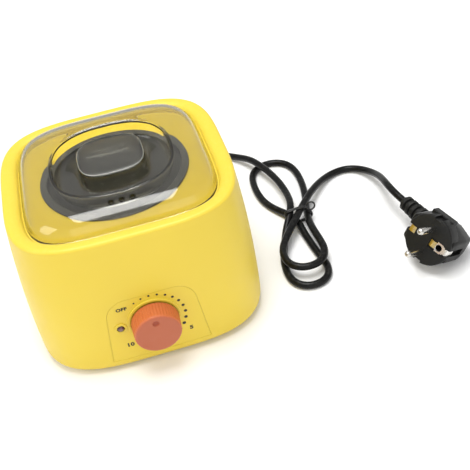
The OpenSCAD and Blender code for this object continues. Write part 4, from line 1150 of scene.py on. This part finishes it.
# lead sheath: extruded, with the twist of its cores showing faintly
leadSheath = {"colour": (0.0036, 0.0036, 0.0036), "tone": (0.0052, 0.0052, 0.0050), "roughness": (0.28, 0.38),
              "twist": 3.0, "lay": 0.55, "rope": 0.3, "grain": 0.25, "smudge": 70.0, "dust": 0.08,
              "dustColour": (0.4, 0.39, 0.36), "bump": (0.12, 0.00012)}


def makeSheath(look):
    tree, shader = newMaterial("leadSheath", {"IOR": 1.5, "Specular IOR Level": 0.18})
    run = axesOf(addNode(tree, "UVMap", {}, uv_map="run").outputs[0])
    lay = plus(times(run[0], look["twist"]), times(run[1], look["lay"]))
    rope = math2("SINE", times(lay, 2 * math.pi))
    grain = useGroup(tree, mouldGrain, Scale=1600.0, Flow=30.0)
    colour = mixColour(grain["Flow"], look["colour"], look["tone"])
    height = plus(times(rope, look["rope"]), times(grain["Height"], look["grain"]))
    handled(shader, look, colour, height)


# clear lid: acrylic that lets light through to what lies under it
lidAcrylic = {"colour": (0.61, 0.598, 0.54), "wall": (0.94, 0.925, 0.86), "wallFront": (0.68, 0.66, 0.56),
              "front": (-0.030, 0.030), "upright": (0.30, 0.85), "shade": (0.84, 0.83, 0.80, 1.0),
              "roughness": (0.008, 0.022), "scratch": 0.02, "bump": (0.02, 0.0001),
              "gripTop": (0.11685, 0.11695), "gripFrost": 0.36, "gripTint": (0.40, 0.396, 0.36),
              "gripReach": (0.0268, 0.0258), "gripFoot": (0.1036, 0.1040), "gripSide": (0.46, 0.44, 0.34),
              "shoulder": (0.0595, 0.0610), "shoulderHaze": 0.08,
              "soot": (0.03, 0.027, 0.022), "sootReach": (1.30, 1.10)}


def makeAcrylic(look):
    tree, shader = newMaterial("lidAcrylic", {"IOR": 1.49, "Transmission Weight": 1.0})
    x, y, z = axesOf(objectPlace(tree))
    aside, ahead = (math2("ABSOLUTE", axis) for axis in (x, y))
    fourth = plus(math2("POWER", aside, 4.0), math2("POWER", ahead, 4.0))
    reach = math2("POWER", fourth, 0.25)  # how far out, counted along a rounded square
    step, row, bore = clearLid["holes"]
    dx = math2("MINIMUM", aside, math2("ABSOLUTE", minus(aside, step)))
    far = hypotenuse(dx, minus(y, row))
    holeShadeMask = spread(far, *(bore * k for k in look["sootReach"]))  # painted shade round the steam holes
    # painted light: steep walls take a clearer tint than flat faces, so what is seen through them is brighter
    flat = spread(math2("ABSOLUTE", facing(tree)[2]), *look["upright"])
    # the grip's sides down to its foot are tinted dark: painted shade, with its contact shadow
    inGrip = times(spread(reach, *look["gripReach"]), spread(z, *look["gripFoot"]))
    side = times(inGrip, minus(1.0, flat))
    onGrip = spread(z, *look["gripTop"])  # the grip's top is finely etched, and tinted darker as painted shade
    # the front walls are tinted darker: painted shade
    wall = mixColour(spread(y, *look["front"]), look["wallFront"], look["wall"])
    colour = mixColour(flat, wall, look["colour"])
    for mask, tint in ((side, "gripSide"), (onGrip, "gripTint"), (holeShadeMask, "soot")):
        colour = mixColour(mask, colour, look[tint])
    marks = useGroup(tree, handlingMarks, Scale=55.0, Hairline=260.0)
    rough = ranged(marks["Smudge"], look["roughness"])
    haze = spread(reach, *look["shoulder"])
    for mask, amount in ((marks["Scratch"], "scratch"), (onGrip, "gripFrost"), (haze, "shoulderHaze")):
        rough = plus(rough, times(mask, look[amount]))
    ripple = useGroup(tree, mouldGrain, Scale=240.0, Flow=12.0)["Flow"]
    finish(shader, colour, rough, ripple, look["bump"])
    shadow = tree.nodes.new("ShaderNodeLightPath").outputs["Is Shadow Ray"]
    passing = addNode(tree, "BsdfTransparent", {"Color": look["shade"]}).outputs[0]
    mix = addNode(tree, "MixShader", {0: shadow, 1: shader.outputs[0], 2: passing})
    feed(tree.nodes["Material Output"].inputs[0], mix.outputs[0])


# pot: hard-coated; painted paler down in the bowl than on its flange, painted light that evens out the shade
# in the bowl and the light on the flange
potCoat = {"flange": (0.064, 0.065, 0.066), "bowl": (0.220, 0.222, 0.224), "edge": (0.0940, 0.1005),
           "mottle": (0.12, (0.02, 0.02, 0.02)), "roughness": (0.42, 0.56), "smudge": 60.0, "dust": 0.06,
           "dustColour": (0.4, 0.39, 0.37), "bump": (0.25, 0.00006)}


def makeCoat(look):
    tree, shader = newMaterial("potCoat", {"IOR": 1.5})
    height = axesOf(objectPlace(tree))[2]
    grain = useGroup(tree, mouldGrain, Scale=2400.0, Flow=26.0)
    # painted light: the bowl's paler colour lifts its shade, the flange's darker one tones down its light
    colour = mixColour(spread(height, *look["edge"]), look["bowl"], look["flange"])
    handled(shader, look, tinted(colour, grain["Flow"], look["mottle"]), grain["Height"])


# dial: orange, its face painted darker than its flank as painted shade, and painted shade down in the pointer
# dimple
dialOrange = {"flank": (0.530, 0.128, 0.037), "face": (0.415, 0.100, 0.040), "pointer": (0.330, 0.050, 0.015),
              "faceAt": (-0.0929, -0.0934), "pointerAt": (0.0, 0.0481), "pointerReach": (0.0024, 0.0017),
              "pointerDepth": (-0.0905, -0.0910), "mottle": (0.10, (0.60, 0.17, 0.06)),
              "roughness": (0.42, 0.55), "smudge": 110.0, "dust": 0.05, "dustColour": (0.7, 0.5, 0.4),
              "bump": (0.12, 0.00008)}


def fromAxis(axes, middle):  # distance in the front's plane from a point (x, z)
    return hypotenuse(minus(axes[0], middle[0]), minus(axes[2], middle[1]))


def makeDialFinish(look):
    tree, shader = newMaterial("dialOrange", {"IOR": 1.48})
    axes = axesOf(objectPlace(tree))
    # painted shade down in the pointer dimple
    near = spread(fromAxis(axes, look["pointerAt"]), *look["pointerReach"])
    near = times(near, spread(axes[1], *look["pointerDepth"]))
    grain = useGroup(tree, mouldGrain, Scale=1800.0, Flow=40.0)
    # the face darker than the flank: painted shade
    colour = mixColour(spread(axes[1], *look["faceAt"]), look["flank"], look["face"])
    colour = mixColour(near, colour, look["pointer"])
    handled(shader, look, tinted(colour, grain["Flow"], look["mottle"]), grain["Height"])


# lamp: a smoked lens, darker towards its edge
lampLens = {"colour": (0.16, 0.06, 0.07), "rim": (0.035, 0.015, 0.020), "fade": (0.0006, 0.0023),
            "smudge": 300.0, "roughness": (0.12, 0.25)}


def makeLens(look):
    tree, shader = newMaterial("lampLens", {"IOR": 1.52, "Coat Weight": 0.6, "Coat Roughness": 0.05})
    far = fromAxis(axesOf(objectPlace(tree)), (panel["lampX"], panel["dialZ"]))
    colour = mixColour(spread(far, *look["fade"]), look["colour"], look["rim"])
    finish(shader, colour, smudged(tree, look["smudge"], look["roughness"]))


# plug's contacts: nickel round the earth hole, brass on the strips
contactPlate = {"silver": (0.80, 0.79, 0.76), "brass": (0.74, 0.58, 0.26), "silverAt": (-0.0071, -0.0180),
                "tarnish": (0.35, (0.35, 0.27, 0.14)), "roughness": (0.2, 0.36), "bump": (0.15, 0.00004)}


def makeContact(look):
    tree, shader = newMaterial("contactPlate", {"Metallic": 1.0})
    off = addNode(tree, "VectorMath", {0: objectPlace(tree), 1: mainsPlug["at"]}, operation="SUBTRACT")
    along = addNode(tree, "VectorMath", {0: off.outputs[0], 1: mainsPlug["axes"][0]},
                    operation="DOT_PRODUCT").outputs["Value"]
    near, end = look["silverAt"]
    plate = times(math2("LESS_THAN", along, near), math2("GREATER_THAN", along, end))
    lines = useGroup(tree, toolLines, Scale=800.0)
    colour = tinted(mixColour(plate, look["brass"], look["silver"]), lines["Tarnish"], look["tarnish"])
    finish(shader, colour, ranged(lines["Tarnish"], look["roughness"]), lines["Height"], look["bump"])


# circuit board: green lacquer over copper tracks
boardLacquer = {"lacquer": (0.015, 0.12, 0.04), "track": (0.05, 0.22, 0.08), "pitch": 260.0, "gap": 0.06,
                "smudge": 120.0, "roughness": (0.25, 0.4), "bump": (0.3, 0.00004)}


def makeBoard(look):
    tree, shader = newMaterial("boardLacquer", {"IOR": 1.5, "Coat Weight": 0.5})
    grid = {"Vector": objectPlace(tree), "Scale": look["pitch"], "Mortar Size": look["gap"]}
    tracks = addNode(tree, "TexBrick", grid).outputs["Fac"]
    colour = mixColour(tracks, look["lacquer"], look["track"])
    finish(shader, colour, smudged(tree, look["smudge"], look["roughness"]), tracks, look["bump"])


# earth lead: green with a yellow stripe wound along it
earthStripe = {"green": (0.04, 0.24, 0.04), "yellow": (0.72, 0.55, 0.03), "pitch": 90.0, "sway": 0.3,
               "share": 0.62, "roughness": (0.38, 0.5), "bump": (0.15, 0.00005)}


def makeStripe(look):
    tree, shader = newMaterial("earthStripe", {"IOR": 1.5})
    winding = {"Vector": objectPlace(tree), "Scale": look["pitch"], "Distortion": look["sway"]}
    wave = addNode(tree, "TexWave", winding).outputs["Fac"]
    colour = mixColour(math2("GREATER_THAN", wave, look["share"]), look["green"], look["yellow"])
    grain = useGroup(tree, mouldGrain, Scale=900.0)
    finish(shader, colour, ranged(grain["Flow"], look["roughness"]), grain["Height"], look["bump"])


# fuse: a pale tube between two metal caps
fuseTube = {"colour": (0.80, 0.82, 0.84), "cap": (0.72, 0.72, 0.70), "ends": (-0.0095, 0.0015), "metal": 0.95,
            "smudge": 200.0, "roughness": (0.06, 0.2)}


def makeFuse(look):
    tree, shader = newMaterial("fuseTube", {"IOR": 1.5})
    along = axesOf(objectPlace(tree))[0]
    low, high = look["ends"]
    cap = math2("MAXIMUM", math2("LESS_THAN", along, low), math2("GREATER_THAN", along, high))
    feed(shader.inputs["Metallic"], times(cap, look["metal"]))
    colour = mixColour(cap, look["colour"], look["cap"])
    finish(shader, colour, smudged(tree, look["smudge"], look["roughness"]))


makeSheath(leadSheath)
makeAcrylic(lidAcrylic)
makeCoat(potCoat)
makeDialFinish(dialOrange)
makeLens(lampLens)
makeContact(contactPlate)
makeBoard(boardLacquer)
makeStripe(earthStripe)
makeFuse(fuseTube)
print("special finishes mixed:", len(made))


# which CAD pieces wear which finish
wears = {
    "sunYellow": ["outer_shell"], "panelYellow": ["control_panel"], "baseYellow": ["base_plate"],
    "footRubber": ["rubber_feet"], "wellAluminium": ["heater_well"], "micaBuff": ["heating_band"],
    "strapSteel": ["band_strap", "fuse_clip"], "sensorBlack": ["thermostat"], "fuseCream": ["thermal_fuse"],
    "screwSteel": ["base_screws", "well_screws", "band_screw", "sensor_screws", "panel_washer", "panel_nut",
                   "board_screws", "clamp_screws"],
    "switchGrey": ["potentiometer"], "boardLacquer": ["control_board"], "triacBlack": ["power_triac"],
    "capacitorRed": ["film_capacitor"], "fuseTube": ["glass_fuse"], "terminalGreen": ["terminal_block"],
    "lampLens": ["indicator_lamp"], "liveBrown": ["live_lead"], "neutralBlue": ["neutral_lead"],
    "earthStripe": ["earth_lead"], "sleeveWhite": ["heater_leads"], "clampNylon": ["cord_clamp"],
    "glandBlack": ["cord_gland", "cord_tail", "mains_cord"], "tieBlack": ["cord_tie"],
    "plugBlack": ["plug_body"], "reliefBlack": ["plug_relief"], "pinNickel": ["plug_pins"],
    "contactPlate": ["plug_earth"],
    "potCoat": ["wax_pot"], "lidAcrylic": ["lid"], "dialOrange": ["dial_knob"], "shaftSteel": ["dial_shaft"],
}


def dressNode(obj, coat):
    if not obj.material_slots:
        obj.data.materials.append(coat)
    for slot in obj.material_slots:
        slot.material = coat


for coat, names in wears.items():
    for name in names:
        dressNode(nodes[name], made[coat])
print("CAD pieces dressed")

# what each new piece wears, moves with and stands for
newPieces = [
    (housingShell, ["sunYellow"], "housing", ["outer_shell"]),
    (controlPanel, ["panelYellow"], "housing", ["control_panel"]),
    (scalePrint, ["inkBlack"], "housing", []),
    (lidShell, ["lidAcrylic", "bevelPale", "moatLine"], "lid", ["lid"]),
    (dialKnob, ["dialOrange"], "dial", ["dial_knob"]),
    (leadTube, ["leadSheath"], "housing", ["mains_cord"]),
    (tieWire, ["tieBlack"], "housing", ["cord_tie"]),
    (plugBody, ["plugBlack"], "housing", ["plug_body"]),
    (plugContacts, ["contactPlate"], "housing", ["plug_earth"]),
]
for obj, coats, body, replaced in newPieces:
    obj.data.materials.clear()
    for coat in coats:
        obj.data.materials.append(made[coat])
    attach(obj, body)
    if replaced:
        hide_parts(*replaced)
print("new pieces dressed and set on their bodies")


# parts of the lid that take its second or third finish: a painted highlight on the grip's bevel, painted
# shade on the moat's edge and the steam holes' walls
def onEdge(face, edge):
    low, high, steep, level = edge
    return low < face.center.z < high and steep < face.normal.z < level


def inBore(face, holes):  # the walls of the steam holes, which take painted shade
    step, row, bore = holes
    reach, lean = clearLid["holeWall"]
    off = min(math.hypot(face.center.x - k * step, face.center.y - row) for k in (-1, 0, 1))
    return off < bore * reach and abs(face.normal.z) < lean


lidMarks = [(onEdge, "gripEdge", 1), (onEdge, "moatEdge", 2), (inBore, "holes", 2)]
for test, key, slot in lidMarks:
    marked = [face for face in lidShell.data.polygons if test(face, clearLid[key])]
    for face in marked:
        face.material_index = slot
    print("lid marked:", key, len(marked), "faces")


# studio: white floor, a softbox above, a large fill in front and a smaller box at the left
studio = {
    "floor": (0.96, 0.96, 0.955),
    "floorSize": 8,
    "fibre": 0.995,
    "sky": 0.55,
    "boxes": {   # place, what it points at, width and height, power
        "topBox": ((0.0, 0.03, 1.05), (0.0, 0.0, 0.1), (0.46, 0.80), 9.3),
        "frontBox": ((0.25, -1.25, 0.55), (0.0, 0.0, 0.05), (1.7, 1.2), 5.0),
        "leftBox": ((-1.2, -0.3, 0.9), (0.0, 0.0, 0.05), (0.8, 0.8), 6.0),
    },
}


def makeFloor(s):
    bpy.ops.mesh.primitive_plane_add(size=s["floorSize"])
    floor = bpy.context.object
    floor.name = "studioFloor"
    tree, shader = newMaterial("floorPaper", {"Specular IOR Level": 0.1})
    fibre = noise(objectPlace(tree), 30.0, 2.0)
    finish(shader, mixColour(fibre, s["floor"], [c * s["fibre"] for c in s["floor"]]), 0.95)
    floor.data.materials.append(made["floorPaper"])


def makeBox(name, place, aim, size, power):
    light = bpy.data.lights.new(name, "AREA")
    light.shape = "RECTANGLE"
    light.size, light.size_y = size
    light.energy = power
    obj = bpy.data.objects.new(name, light)
    obj.location = place
    obj.rotation_euler = (Vector(aim) - Vector(place)).to_track_quat("-Z", "Y").to_euler()
    bpy.context.scene.collection.objects.link(obj)


def makeStudio(s):
    makeFloor(s)
    world = bpy.data.worlds.new("studioAir")
    world.use_nodes = True
    air = world.node_tree.nodes["Background"]
    air.inputs["Color"].default_value = (1.0, 1.0, 1.0, 1.0)
    air.inputs["Strength"].default_value = s["sky"]
    bpy.context.scene.world = world
    for name, box in s["boxes"].items():
        makeBox(name, *box)
    bpy.context.scene.view_settings.view_transform = "Standard"


makeStudio(studio)
print("studio lit")
